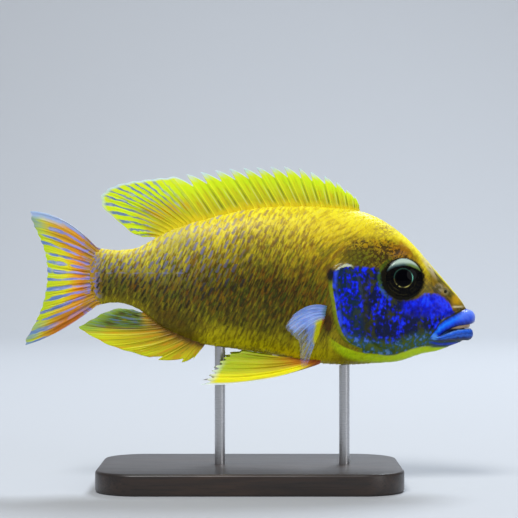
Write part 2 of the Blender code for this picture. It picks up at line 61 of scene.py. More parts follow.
BODY_START = -43.2
BODY_END = 62.7
TAIL_PAD = 2.9
TAIL_THINNING = 0.58

# The body's side view, and its half width and the height of its widest line, from tail to muzzle
BACK = ((-43.2, 7.7), (-37.2, 7.3), (-31.5, 8.3), (-25.8, 11.3), (-20, 14), (-11.5, 16.5), (-1.4, 18.8),
        (10, 19.8), (22.9, 19.4), (31.5, 18.4), (38.7, 15.3), (45.8, 9.7), (51.5, 3.3), (57.3, -3.4),
        (61, -8), (62, -9.9), (62.7, -12.3))
BELLY = ((-43.2, -8.6), (-39.5, -8), (-35.8, -8.3), (-30.9, -10.5), (-25.8, -14.5), (-20, -17.4),
         (-12.9, -20), (-4.3, -21.2), (5.7, -22.8), (15.7, -24.8), (25.8, -25.7), (35.8, -25.3),
         (43, -24.6), (48.7, -22.7), (54.4, -21.5), (57.8, -20.1), (61, -18.7), (62.7, -16.6))
WIDEST = ((-43.2, 0), (-28.6, -0.6), (-14.3, -2.4), (0, -3.6), (14.3, -4.4), (25.8, -5.4), (34.4, -7.2),
          (43, -8.3), (51.5, -10.6), (57.3, -12.9), (62.7, -14.6))
HALF_WIDTH = ((-43.2, 1.7), (-37.2, 2.3), (-28.6, 3.4), (-20, 5), (-8.6, 7), (2.9, 8.7), (14.3, 9.7),
              (22.9, 10), (34.4, 9.8), (40.1, 9), (45.8, 7.9), (51.5, 6.5), (57.3, 4.9), (60.1, 4.1),
              (62.7, 3))
BACK_ROUNDNESS = ((-43.2, 2), (0, 1.9), (30, 2), (45, 2.4), (62.7, 2.2))
BELLY_ROUNDNESS = ((-43.2, 2), (0, 2.1), (25, 2.4), (45, 2.2), (62.7, 2))

# The skin: how finely it is fused, its steps past the tail's root, and how far it lies below the solids
SKIN_VOXEL = 0.352
SKIN_SIDES = 96
SKIN_STEP = 0.9
TAIL_END_STEPS = (1.0, 0.96, 0.88, 0.75, 0.55, 0.3)
SCALE_DEPTH = 0.20
HEAD_DEPTH = 0.06

# The gill cover: its front and rear edge by height, and how it lies on the head
COVER_FRONT = ((-20.6, 32.4), (-20, 33.6), (-18.6, 33.9), (-15.5, 32.6), (-12, 32.1), (-2.9, 32.1),
               (1, 31.8), (2.6, 30.8), (3.4, 29.2))
COVER_REAR = ((-20.6, 30.8), (-20, 29.2), (-18, 26.3), (-12.9, 24), (-7.2, 23), (-2.4, 22.3), (0.6, 22.6),
              (2.4, 24), (3.4, 26.6))
COVER_LOW = -20.6
COVER_HIGH = 3.4
COVER_THICK = 1.2
COVER_LIFT = 0.35

# Eyes, nostrils and mouth
EYE_X = 43.1
EYE_Z = -0.8
EYE_RADIUS = 5.8
EYE_DEPTH = 2.7
EYE_BULGE = 1.2
EYE_DROP = 1.5
EYE_LEAN = 0.55
EYE_WALL = 0.9
EYE_BOWL = 2.6
PUPIL_RADIUS = 2.15
RING_RADIUS = 2.65
ORBIT_RADIUS = 5.85
ORBIT_THICK = 0.42
SOCKET_RADIUS = 5.5
SOCKET_SLACK = 0.4
ORBIT_SINK = 0.3
NOSTRIL_X = 55.6
NOSTRIL_Z = -4.7
NOSTRIL_RADIUS = 0.55
MOUTH_LINE = ((66, -14.75), (61, -14.8), (58, -15.2), (54.6, -16.6), (52.4, -17.7))
MOUTH_GAPS = (1.2, 1.1, 0.8, 0.4, 0.1)
MOUTH_REACH = 12.0
MOUTH_FLOOR = (57.0, 0.0, -15.6)
MOUTH_FLOOR_SIZE = (4.6, 3.0, 1.5)

# Each lip from the mouth's corner to its front: x, z, y, then half its height and half its depth
UPPER_LIP = ((51.9, -16.8, 5.7, 0.8, 0.8), (53.6, -15.5, 5.4, 1.2, 1), (55.6, -14.25, 4.9, 1.5, 1.15),
             (57.8, -13.1, 4.2, 1.75, 1.3), (60.2, -12.35, 3.1, 1.95, 1.45), (62.1, -12, 1.7, 2.1, 1.6),
             (62.9, -12, 0, 2.15, 1.7))
LOWER_LIP = ((52.2, -17.5, 5.6, 0.9, 0.9), (54.6, -17.8, 5.1, 1, 1), (57.2, -17.3, 4.3, 1.35, 1.1),
             (60, -17.05, 3.1, 1.65, 1.2), (61.9, -17, 1.7, 1.8, 1.3), (62.6, -17, 0, 1.85, 1.35))
LIP_LEAN = 0.25
INNER_LIP = ((56.4, -15.5, 4.1, 0.5, 0.5), (58.6, -14.9, 3.5, 0.85, 0.6), (60.4, -14.3, 2.7, 0.9, 0.6),
             (61.9, -14.15, 1.4, 0.95, 0.6), (62.4, -14.15, 0, 0.95, 0.6))

# Scales: the columns along the body and the rows to each side of its side line
SIDE_LINE_Z = 0.6
SCALE_START = -46.0
SCALE_PITCH = ((-46, 1.5), (-38, 1.9), (-25, 2.1), (16, 2.1), (26, 1.6), (40, 1.15))
ROW_PITCH = ((-46, 1.7), (-38, 2.05), (-25, 2.35), (-5, 2.75), (14, 2.75), (26, 2.1), (40, 1.55))
NAPE_FRONT = 38.5
SCALE_JITTER = 0.06
SCALE_LEAN = 0.05
SCALE_UNEVEN = 0.015
SCALE_REAR = 0.82
SCALE_FRONT = 1.25
SCALE_HALF_HEIGHT = 0.62
SCALE_THICK = 0.07
SCALE_GRID = (7, 9)
PORED_UNTIL = -16.0

# Where the scales end: x and height at the edge's corner and its slope, then the arc over the tail
NAPE_EDGE = (23.0, 1.9, 1.3)
BREAST_EDGE = (29.5, -19.0, -0.9)
TAIL_ARC_INSET = 0.4
TAIL_ARC_DEPTH = 3.4
TAIL_ARC_HALF = 8.0

# Fins: ray number, then where that ray leaves the body and where it ends
DORSAL_SPINES = 16
DORSAL_RAYS = 26
DORSAL_ROOT_X = ((0, 31.4), (1, 30.3), (3, 26.1), (5, 20.5), (7, 14.9), (9, 8.4), (12, -2.3), (15, -13.2),
                 (19, -18.8), (22, -22.9), (25, -27))
DORSAL_TIP = ((0, 31.3, 20.2), (1, 30.1, 22.5), (2, 27.5, 24.6), (3, 24.6, 26.9), (4, 21.3, 28.4),
              (5, 17.2, 29.6), (6, 13.9, 30.7), (7, 9.7, 31.1), (9, 1.9, 30.8), (11, -5.9, 30.4),
              (13, -14.2, 29.5), (15, -22.3, 28.2), (17, -30, 27.3), (19, -37.4, 26), (20, -40.6, 24.7),
              (21, -42.6, 22.6), (22, -42, 19.2), (23, -38, 15.6), (24, -34, 12.2), (25, -30.6, 10.9))
TAIL_RAYS = 18
TAIL_ROOT_Z = ((0, 7.5), (17, -8.4))
TAIL_TIP = ((0, -63, 18.3), (1, -62.7, 16), (3, -60.8, 11.6), (5, -59.1, 7.4), (8, -58, 1.4),
            (11, -58.5, -5.2), (13, -59.9, -10.2), (15, -62.2, -14.9), (16, -64.2, -18.4),
            (17, -64.4, -20.1))
ANAL_SPINES = 3
ANAL_RAYS = 12
ANAL_ROOT_X = ((0, -12.9), (2, -16.6), (5, -21.7), (8, -26.2), (11, -30.6))
ANAL_TIP = ((0, -16.4, -24.2), (1, -19.6, -25), (2, -26.4, -24.3), (3, -31.4, -22.9), (5, -41, -19.8),
            (6, -45.8, -17.2), (7, -48.9, -15), (8, -46, -13.1), (9, -42.5, -11.1), (10, -38, -9.6),
            (11, -33.4, -9.9))
PELVIC_RAYS = 9
PELVIC_ROOT = ((0, 20.6, 3.6), (4, 17.6, 3.2), (8, 14.2, 2.2))
PELVIC_TIP = ((0, -13.7, -30.7, 9.6), (1, -11.9, -29.2, 9.3), (3, -10.6, -26.9, 8.4), (5, -8.4, -24.4, 7),
              (7, -5.6, -22.4, 5.4), (8, -2, -21.6, 4.4))
PECTORAL_RAYS = 13
PECTORAL_ROOT = ((0, 21.7, -8.6), (6, 20.8, -12.6), (12, 19.2, -16.8))
PECTORAL_TIP = ((0, 11.6, -11.4, 17.5), (2, 9.9, -14.2, 19), (4, 11.6, -16.2, 20.5), (6, 13.6, -18.4, 21.5),
                (8, 13.9, -22.8, 20), (9, 14.4, -25.1, 19), (10, 15.8, -24.9, 17), (12, 17, -21.6, 13.5))
FIN_ROOT_DEPTH = 0.9
FIN_UV_RAYS = 32
FIRST_FORK = 0.15
SECOND_FORK = 0.06

# The stand: the base's round corners and soft edges, and how far the rods sink in and stay clear
BASE_CORNER = 12.0
BASE_EDGE = 0.8
ROD_RADIUS = 1.5
ROD_SIDES = 48
ROD_SINK = 0.35
ROD_TOP_GAP = 0.1

# The photograph's frame: millimetres per pixel at the fish, and the pixel of the frame's origin
PIXEL_MM = 130 / 454
FRAME_PIXELS = 518
MIDDLE_PIXEL_X = 250
AXIS_PIXEL_Y = 275
CAMERA_DISTANCE = 0.50

# The lights by name, place, size, power and colour, and the light of the room
LIGHTS = (("key", (-0.4, -1.1, 1.7), 0.7, 27, (1, 1, 1)),
          ("fill", (1.3, -1.2, 0.5), 1.0, 5, (1, 1, 1)),
          ("rim", (0.35, 0.75, 1.1), 0.5, 16, (0.84, 0.91, 1)))
ROOM_COLOUR = (0.92, 0.95, 1, 1)
ROOM_STRENGTH = 0.3


def curve_through(points):
    """A smooth function through (at, value) pairs, as value of at, for numbers and arrays."""
    ats, values = (np.array(column, float) for column in zip(*sorted(points)))
    steps = np.diff(values) / np.diff(ats)
    slopes = np.concatenate([steps[:1], (steps[1:] + steps[:-1]) / 2, steps[-1:]])

    def value_at(at):
        at = np.clip(at, ats[0], ats[-1])
        i = np.clip(np.searchsorted(ats, at, side="right") - 1, 0, len(ats) - 2)
        run = ats[i + 1] - ats[i]
        t = (at - ats[i]) / run
        return ((1 + 2 * t) * (1 - t) ** 2 * values[i] + t * (1 - t) ** 2 * slopes[i] * run
                + t * t * (3 - 2 * t) * values[i + 1] + t * t * (t - 1) * slopes[i + 1] * run)

    return value_at


back_z = curve_through(BACK)
belly_z = curve_through(BELLY)
widest_z = curve_through(WIDEST)
half_width = curve_through(HALF_WIDTH)
back_roundness = curve_through(BACK_ROUNDNESS)
belly_roundness = curve_through(BELLY_ROUNDNESS)
cover_front = curve_through(COVER_FRONT)
cover_rear = curve_through(COVER_REAR)


def smooth_step(value, low, high):
    t = np.clip((value - low) / (high - low), 0, 1)
    return t * t * (3 - 2 * t)


def half_of_body(x, upper):
    """The widest line's height, the reach from it to the back or belly, and the roundness there."""
    middle = widest_z(x)
    reach = np.where(upper, back_z(x) - middle, middle - belly_z(x))
    return middle, reach, np.where(upper, back_roundness(x), belly_roundness(x))


def body_point(x, turn):
    """Points of the body in millimetres. turn runs from 0 at the back, by the left, to pi below."""
    x, turn = np.broadcast_arrays(np.asarray(x, float), np.asarray(turn, float))
    up, out = np.cos(turn), np.sin(turn)
    middle, reach, power = half_of_body(x, up >= 0)
    rise = reach * np.abs(up) ** (2 / power) * np.sign(up)
    y = half_width(x) * np.abs(out) ** (2 / power) * np.sign(out)
    return np.stack([x, y, middle + rise], -1)


def side_y(x, z):
    """Half the body's width at a point of its side view."""
    middle, reach, power = half_of_body(x, z >= widest_z(x))
    share = np.clip(np.abs(z - middle) / reach, 0, 1)
    return half_width(x) * (1 - share ** power) ** (1 / power)


def underside_z(x, y):
    power = belly_roundness(x)
    share = np.clip(np.abs(y) / half_width(x), 0, 1)
    middle = widest_z(x)
    return middle - (middle - belly_z(x)) * (1 - share ** power) ** (1 / power)


def unit(vectors):
    return vectors / np.maximum(np.linalg.norm(vectors, axis=-1, keepdims=True), 1e-9)


def turns_round(count):
    """Angles evenly round a circle."""
    return 2 * pi * np.arange(count) / count


def in_metres(points):
    """Millimetres from mid-length and from the axis, as metres in the frame."""
    return np.asarray(points, float) * MM + np.array([0, 0, AXIS_HEIGHT])


def select_only(piece, *others):
    bpy.ops.object.select_all(action="DESELECT")
    for chosen in (piece, *others):
        chosen.select_set(True)
    bpy.context.view_layer.objects.active = piece


def mesh_piece(name, points, faces):
    """A new object from points in millimetres."""
    mesh = bpy.data.meshes.new(name)
    mesh.from_pydata(in_metres(points).tolist(), [], faces)
    mesh.update()
    piece = bpy.data.objects.new(name, mesh)
    bpy.context.scene.collection.objects.link(piece)
    return piece


def face_outwards(piece):
    shape = bmesh.new()
    shape.from_mesh(piece.data)
    bmesh.ops.recalc_face_normals(shape, faces=shape.faces)
    shape.to_mesh(piece.data)
    shape.free()
    return piece


def smooth_shaded(piece, angle=180):
    piece.data.shade_smooth()
    if angle < 180:
        piece.data.set_sharp_from_angle(angle=radians(angle))
    return piece


def apply_modifiers(piece):
    select_only(piece)
    for modifier in list(piece.modifiers):
        bpy.ops.object.modifier_apply(modifier=modifier.name)
    return piece


def wall_faces(rings, sides, closed=False):
    """Faces between rings of points, and with closed also from the last ring to the first."""
    count = rings * sides
    faces = []
    for i in range(rings if closed else rings - 1):
        for j in range(sides):
            a, b = i * sides + j, i * sides + (j + 1) % sides
            faces.append((a, b, (b + sides) % count, (a + sides) % count))
    return faces


def tube(name, rings):
    """A closed skin over rings of points in millimetres, each with the same number of points."""
    rings = np.asarray(rings)
    count, sides = rings.shape[:2]
    last = (count - 1) * sides
    caps = [tuple(range(sides - 1, -1, -1)), tuple(range(last, last + sides))]
    return face_outwards(mesh_piece(name, rings.reshape(-1, 3), wall_faces(count, sides) + caps))


def sheet_faces(columns, rows, one_back=False):
    """Faces of a closed sheet: one side's grid, the other side's grid or single face, and the rim."""
    half = columns * rows
    corners = [i * rows + j for i in range(columns - 1) for j in range(rows - 1)]
    cells = [(a, a + rows, a + rows + 1, a + 1) for a in corners]
    rim = [i * rows for i in range(columns)] + [(columns - 1) * rows + j for j in range(1, rows)]
    rim += [i * rows + rows - 1 for i in range(columns - 2, -1, -1)] + list(range(rows - 2, 0, -1))
    behind = [rim] if one_back else [cell[::-1] for cell in cells]
    walls = [(b, a, a + half, b + half) for a, b in zip(rim, rim[1:] + rim[:1])]
    return cells + [tuple(v + half for v in face) for face in behind] + walls


def slab(name, one_side, other_side):
    points = np.concatenate([one_side.reshape(-1, 3), other_side.reshape(-1, 3)])
    return face_outwards(mesh_piece(name, points, sheet_faces(*one_side.shape[:2])))


def set_uv(piece, name, per_point):
    """A UV map from one pair of values for each point of the mesh."""
    layer = piece.data.uv_layers.new(name=name)
    corners = np.empty(len(piece.data.loops), np.int32)
    piece.data.loops.foreach_get("vertex_index", corners)
    layer.data.foreach_set("uv", np.asarray(per_point, np.float32)[corners].ravel())


def smooth_path(points, count):
    """count points evenly along a smooth curve through the given points."""
    points = np.array(points, float)
    lengths = np.concatenate([[0], np.cumsum(np.linalg.norm(np.diff(points, axis=0), axis=1))])
    at = np.linspace(0, lengths[-1], count)
    return np.stack([curve_through(list(zip(lengths, column)))(at) for column in points.T], -1)


# The skin


def tail_taper(x):
    """How thin the flesh is over the root of the tail fin, behind the end of the solids' stem."""
    past = np.clip((BODY_START - x) / TAIL_PAD, 0, 1.2)
    return 1 - TAIL_THINNING * past


def make_trunk():
    """The body's closed form, tapered behind the solids' stem into the tail fin."""
    stations = np.append(np.arange(BODY_START, BODY_END, SKIN_STEP), BODY_END)
    turns = 2 * pi * (np.arange(SKIN_SIDES) + 0.5) / SKIN_SIDES
    rings = body_point(stations[:, None], turns[None, :])
    ends = []
    for past in TAIL_END_STEPS:
        ring = rings[0].copy()
        ring[:, 0] -= TAIL_PAD * past
        ring[:, 1] *= tail_taper(ring[:, 0])
        ring[:, 2] *= (1 - (past * 0.985) ** 2) ** 0.5
        ends.append(ring)
    return tube("trunk", np.concatenate([np.array(ends), rings]))


def rings_along(path, out, up, sides):
    """Rings of points round each point of a path, their half axes given by out and up."""
    turns = turns_round(sides)[:, None]
    return path[:, None] + out[:, None] * np.cos(turns) + up[:, None] * np.sin(turns)


def make_lip(name, stations, lean, rings=61, sides=24):
    """A lip round the front of the mouth, from one corner to the other, its face leaning back."""
    right = [(x, -y, z, high, deep) for x, z, y, high, deep in stations]
    left = [(x, y, z, high, deep) for x, z, y, high, deep in reversed(stations[:-1])]
    path = smooth_path(right + left, rings)
    high, deep = path[:, 3], path[:, 4]
    path = path[:, :3]
    along = unit(np.gradient(path, axis=0))
    level = unit(np.cross(along, [0, 0, 1]))
    upright = np.cross(level, along)
    out = level * cos(lean) + upright * sin(lean)
    up = upright * cos(lean) - level * sin(lean)
    share = np.sin(pi * (np.arange(rings) + 0.5) / rings) ** 0.25
    share = share * smooth_step(np.minimum(np.arange(rings), np.arange(rings)[::-1]), -2.5, 5)
    return tube(name, rings_along(path, out * (deep * share)[:, None], up * (high * share)[:, None], sides))


def make_cover(name, side):
    """A gill cover: a plate that lies on the head and lifts off towards its free rear edge."""
    rows, columns = 40, 26
    share = np.linspace(0, 1, columns)[:, None]
    z = COVER_LOW + (COVER_HIGH - COVER_LOW) * (1 - np.cos(pi * np.linspace(0, 1, rows))) / 2
    x = cover_rear(z) * share + cover_front(z) * (1 - share)
    z = np.broadcast_to(z, x.shape)
    skin = side_y(x, z)
    lift = COVER_LIFT * share
    outer = np.stack([x, side * (skin + lift), z], -1)
    inner = np.stack([x, side * (skin + lift - COVER_THICK), z], -1)
    return slab(name, outer, inner)


def wedge_along(name, path, gaps, reach):
    """A wall across the body along a path of its side view, to cut the mouth with."""
    path = np.array(path)
    along = unit(np.gradient(path, axis=0))
    aside = np.stack([-along[:, 1], along[:, 0]], -1) * np.array(gaps)[:, None] / 2
    sides = []
    for sign in (1, -1):
        line = path + sign * aside
        sides.append(np.stack([np.stack([line[:, 0], np.full(len(line), y), line[:, 1]], -1)
                               for y in (-reach, reach)], 1))
    return slab(name, sides[0], sides[1])


def eye_frame(side):
    """The eye's centre, and its axis, which leans forward and up as the head's side does."""
    step = 1.5
    slope_x = (side_y(EYE_X + step, EYE_Z) - side_y(EYE_X - step, EYE_Z)) / (2 * step)
    slope_z = (side_y(EYE_X, EYE_Z + step) - side_y(EYE_X, EYE_Z - step)) / (2 * step)
    axis = unit(np.array([-slope_x * EYE_LEAN, side, -slope_z * EYE_LEAN]))
    skin = np.array([EYE_X, side * side_y(EYE_X, EYE_Z), EYE_Z])
    return skin + axis * (EYE_BULGE - EYE_DEPTH), axis


def turned(points, axis):
    """Points about Y turned so that Y lies along the axis."""
    x_axis = unit(np.cross(axis, [0, 0, 1]))
    z_axis = np.cross(x_axis, axis)
    if x_axis[0] < 0:
        x_axis, z_axis = -x_axis, -z_axis
    z_axis = z_axis * np.sign(z_axis[2])
    return points[..., :1] * x_axis + points[..., 1:2] * axis + points[..., 2:] * z_axis


def lathe(name, profile, sides, centre, axis):
    """A turned shape from (radius, height) pairs along an axis, both its ends on the axis."""
    profile = np.array(profile, float)
    turns = turns_round(sides)
    body = profile[1:-1]
    rings = np.stack([body[:, :1] * np.cos(turns), np.broadcast_to(body[:, 1:], (len(body), sides)),
                      body[:, :1] * np.sin(turns)], -1)
    ends = np.array([[0, profile[0, 1], 0], [0, profile[-1, 1], 0]])
    points = np.concatenate([rings.reshape(-1, 3), ends])
    faces = wall_faces(len(body), sides)
    first, last, low = len(points) - 2, len(points) - 1, (len(body) - 1) * sides
    for j in range(sides):
        k = (j + 1) % sides
        faces += [(first, k, j), (last, low + j, low + k)]
    return face_outwards(mesh_piece(name, turned(points, axis) + centre, faces))


def ball_profile(radius, depth, steps):
    lean = np.linspace(0, pi, steps)
    return np.stack([radius * np.sin(lean), depth * np.cos(lean)], -1)


def make_orbit(name, side, steps=72, sides=14):
    """The rounded rim of skin round an eye, which follows the side of the head."""
    turns = turns_round(steps)
    x = EYE_X + ORBIT_RADIUS * np.cos(turns)
    z = EYE_Z + ORBIT_RADIUS * np.sin(turns)
    path = np.stack([x, side * (side_y(x, z) - ORBIT_SINK), z], -1)
    along = unit(np.roll(path, -1, 0) - np.roll(path, 1, 0))
    out = unit(path - np.array([EYE_X, side * side_y(EYE_X, EYE_Z), EYE_Z]))
    up = unit(np.cross(along, out))
    rings = rings_along(path, out * ORBIT_THICK, up * ORBIT_THICK, sides)
    return face_outwards(mesh_piece(name, rings.reshape(-1, 3), wall_faces(steps, sides, closed=True)))


def cut_with(piece, cutters):
    """Cuts the piece with others, which are then gone."""
    for cutter in cutters:
        cut = piece.modifiers.new("cut", "BOOLEAN")
        cut.operation = "DIFFERENCE"
        cut.solver = "EXACT"
        cut.object = cutter
    apply_modifiers(piece)
    for cutter in cutters:
        bpy.data.objects.remove(cutter)
    return piece


def join_into(piece, others):
    select_only(piece, *others)
    bpy.ops.object.join()
    return piece


def distance_to_line(x, z, line):
    """How far points of the side view lie from a path of the side view."""
    path = smooth_path(line, 60)
    return np.sqrt(((x[:, None] - path[:, 0]) ** 2 + (z[:, None] - path[:, 1]) ** 2).min(1))


# Grooves and folds of the head: where each runs in the side view, its depth and its half width
CHEEK_GROOVE = ((31, 0), (32, -5), (32.1, -12), (33, -17), (35.5, -20.3), (40, -21.6))
GILL_FOLD = ((26, -19), (29.5, -22), (34, -23.4), (41, -23.3), (49, -21.2), (55, -20.2))
LIP_FOLD = ((50.2, -18.4), (52, -14.8), (55, -11.9), (58.7, -10.2), (61.8, -9.3))
CHIN_FOLD = ((50.6, -19.3), (54, -19.2), (58, -18.9), (61.5, -18.9))
BROW_RIDGE = ((38, 6.2), (41.5, 7), (45, 7.2), (48.8, 5.2), (51.5, 1.5))
MOUTH_CREASE = ((53, -17.3), (54.6, -16.75), (56.3, -15.95), (58.2, -15.3), (61, -14.85))
HEAD_GROOVES = ((MOUTH_CREASE, 0.7, 0.32), (CHEEK_GROOVE, 0.45, 0.7), (GILL_FOLD, 0.35, 0.6),
                (LIP_FOLD, 0.6, 0.5), (CHIN_FOLD, 0.3, 0.5), (BROW_RIDGE, -0.25, 1.3))
PORES = ((38.5, -8.6), (41.8, -9.4), (45.2, -9.7), (48.6, -9), (51.2, -7.2), (34.6, -2), (34.4, -7.2),
         (34.6, -12.4), (36.4, -17.2), (40.6, -19.4), (45.4, -19.6), (50, -20.3))
PORE_RADIUS = 0.5
PORE_DEPTH = 0.35
NOSTRIL_DEPTH = 0.9
NOSTRIL_RIM = 0.28
RIPPLE = 0.035


def sculpt_skin(skin):
    """Moves the fused skin in and out: below the scales, along folds, and into pores."""
    mesh = skin.data
    count = len(mesh.vertices)
    points, normals = np.empty(count * 3), np.empty(count * 3)
    mesh.vertices.foreach_get("co", points)
    mesh.vertices.foreach_get("normal", normals)
    points, normals = points.reshape(-1, 3), normals.reshape(-1, 3)
    x = points[:, 0] / MM
    y = np.abs(points[:, 1]) / MM
    z = (points[:, 2] - AXIS_HEIGHT) / MM
    inset = HEAD_DEPTH + (SCALE_DEPTH - HEAD_DEPTH) * scaly_share(x, z)
    sideways = smooth_step(np.abs(normals[:, 1]), 0.25, 0.6)
    for line, depth, half in HEAD_GROOVES:
        inset += depth * np.exp(-(distance_to_line(x, z, line) / half) ** 2) * sideways
    for pore_x, pore_z in PORES:
        away = (x - pore_x) ** 2 + (z - pore_z) ** 2
        inset += PORE_DEPTH * np.exp(-away / PORE_RADIUS ** 2) * sideways
    away = np.hypot(x - NOSTRIL_X, z - NOSTRIL_Z)
    inset += NOSTRIL_DEPTH * np.exp(-(away / (NOSTRIL_RADIUS * 0.7)) ** 2) * (y > 1)
    inset -= NOSTRIL_RIM * np.exp(-((away - NOSTRIL_RADIUS * 1.35) / 0.4) ** 2) * (y > 1)
    ripple = np.sin(x * 2.1 + 1.4 * np.sin(z * 1.3)) * np.sin(z * 2.3 + 1.2 * np.sin(x * 1.1))
    inset += RIPPLE * ripple * smooth_step(x, 30, 34)
    points -= normals * (inset * MM)[:, None]
    for side in (1, -1):
        centre, axis = eye_frame(side)
        away = points / MM - (in_metres(centre) / MM)
        forward = away @ axis
        flat = away - forward[:, None] * axis
        reach = np.maximum(np.linalg.norm(flat, axis=1), 0.01)
        pull = (1 - smooth_step(np.abs(reach - SOCKET_RADIUS), 0.15, 0.5)) * (forward > 0)
        points += flat * ((SOCKET_RADIUS / reach - 1) * pull * MM)[:, None]
    mesh.vertices.foreach_set("co", points.ravel())
    mesh.update()


def make_skin():
    trunk = make_trunk()
    cutters = [wedge_along("mouth", MOUTH_LINE, MOUTH_GAPS, MOUTH_REACH)]
    hollow = ball_profile(SOCKET_RADIUS, EYE_DEPTH + SOCKET_SLACK, 24)
    cutters += [lathe("socket", hollow, 64, *eye_frame(side)) for side in (1, -1)]
    cut_with(trunk, cutters)
    forms = [make_lip("upper", UPPER_LIP, LIP_LEAN), make_lip("lower", LOWER_LIP, -LIP_LEAN)]
    for side in (1, -1):
        forms += [make_cover("cover", side), make_orbit("orbit", side)]
    skin = join_into(trunk, forms)
    skin.name = "skin"
    skin.data.name = "skin"
    fuse = skin.modifiers.new("fuse", "REMESH")
    fuse.mode = "VOXEL"
    fuse.voxel_size = SKIN_VOXEL * MM
    soften = skin.modifiers.new("soften", "SMOOTH")
    soften.factor = 0.5
    soften.iterations = 5
    apply_modifiers(skin)
    sculpt_skin(skin)
    return smooth_shaded(skin)


# The scales


def gill_edge(z):
    """How far forward the scales reach, behind the gill cover and over the nape."""
    (nape_x, nape_z, nape_slope), (breast_x, breast_z, breast_slope) = NAPE_EDGE, BREAST_EDGE
    lower = breast_x + (z - breast_z) * breast_slope
    beside = np.where(z < breast_z, lower, cover_rear(np.maximum(z, COVER_LOW)))
    return np.where(z > nape_z, nape_x + (z - nape_z) * nape_slope, beside)


def scaly_share(x, z):
    """1 where the scales stand out in full, falling to 0 where they end."""
    ahead = gill_edge(z) - x
    nape = smooth_step(z, 1.0, 5.0)
    front = smooth_step(ahead, -0.4, 0.8) * (1 - nape) + smooth_step(ahead, 0.0, 6.5) * nape
    behind = x - tail_arc(z)
    return front * smooth_step(behind, 0.2, 2.6)


def tail_arc(z):
    """Where the scales end over the root of the tail fin."""
    return BODY_START - TAIL_PAD + TAIL_ARC_INSET + TAIL_ARC_DEPTH * (z / TAIL_ARC_HALF) ** 2


class ScaleSheet:
    """Places on the body's side by x and by the distance round it from the side line."""

    def __init__(self):
        self.xs = np.linspace(-47.0, 42.0, 446)
        self.away = np.linspace(-42.0, 46.0, 441)
        turns = np.linspace(0, pi, 401)
        points = body_point(np.maximum(self.xs, BODY_START)[:, None], turns[None, :])
        lengths = np.concatenate([np.zeros((len(self.xs), 1)),
                                  np.cumsum(np.linalg.norm(np.diff(points, axis=1), axis=2), 1)], 1)
        self.turns = np.empty((len(self.xs), len(self.away)))
        self.top, self.bottom = np.empty(len(self.xs)), np.empty(len(self.xs))
        for i in range(len(self.xs)):
            line = np.interp(-SIDE_LINE_Z, -points[i, :, 2], lengths[i])
            self.top[i], self.bottom[i] = -line, lengths[i, -1] - line
            self.turns[i] = np.interp(self.away + line, lengths[i], turns)

    def turn_at(self, x, away):
        i = np.clip((x - self.xs[0]) / (self.xs[1] - self.xs[0]), 0, len(self.xs) - 1.001)
        j = np.clip((away - self.away[0]) / (self.away[1] - self.away[0]), 0, len(self.away) - 1.001)
        a, b = i.astype(int), j.astype(int)
        u, v = i - a, j - b
        t = self.turns
        return ((t[a, b] * (1 - v) + t[a, b + 1] * v) * (1 - u)
                + (t[a + 1, b] * (1 - v) + t[a + 1, b + 1] * v) * u)

    def edges(self, x):
        """How far the back and the belly lie from the side line."""
        return np.interp(x, self.xs, self.top), np.interp(x, self.xs, self.bottom)

    def point(self, x, away):
        """A point of the body, which goes on behind its end and thins there."""
        found = body_point(np.maximum(x, BODY_START), self.turn_at(x, away))
        found[..., 0] = x
        found[..., 1] *= tail_taper(x)
        return found

    def normal(self, x, away):
        step = 0.3
        along = self.point(x + step, away) - self.point(x - step, away)
        across = self.point(x, away + step) - self.point(x, away - step)
        return unit(np.cross(along, across))


def scale_centres(sheet):
    """The middle of each scale as (x, distance from the side line), in columns and rows."""
    pitch, row = curve_through(SCALE_PITCH), curve_through(ROW_PITCH)
    centres, x, column = [], SCALE_START, 0
    while x < NAPE_FRONT:
        height = row(x)
        top, bottom = sheet.edges(x)
        offset = 0.5 * (column % 2)
        for k in range(-24, 25):
            away = (k + offset) * height
            if top + 0.25 * height < away < bottom + 0.1 * height:
                centres.append((x, away, pitch(x), height))
        x += float(pitch(x))
        column += 1
    return np.array(centres)


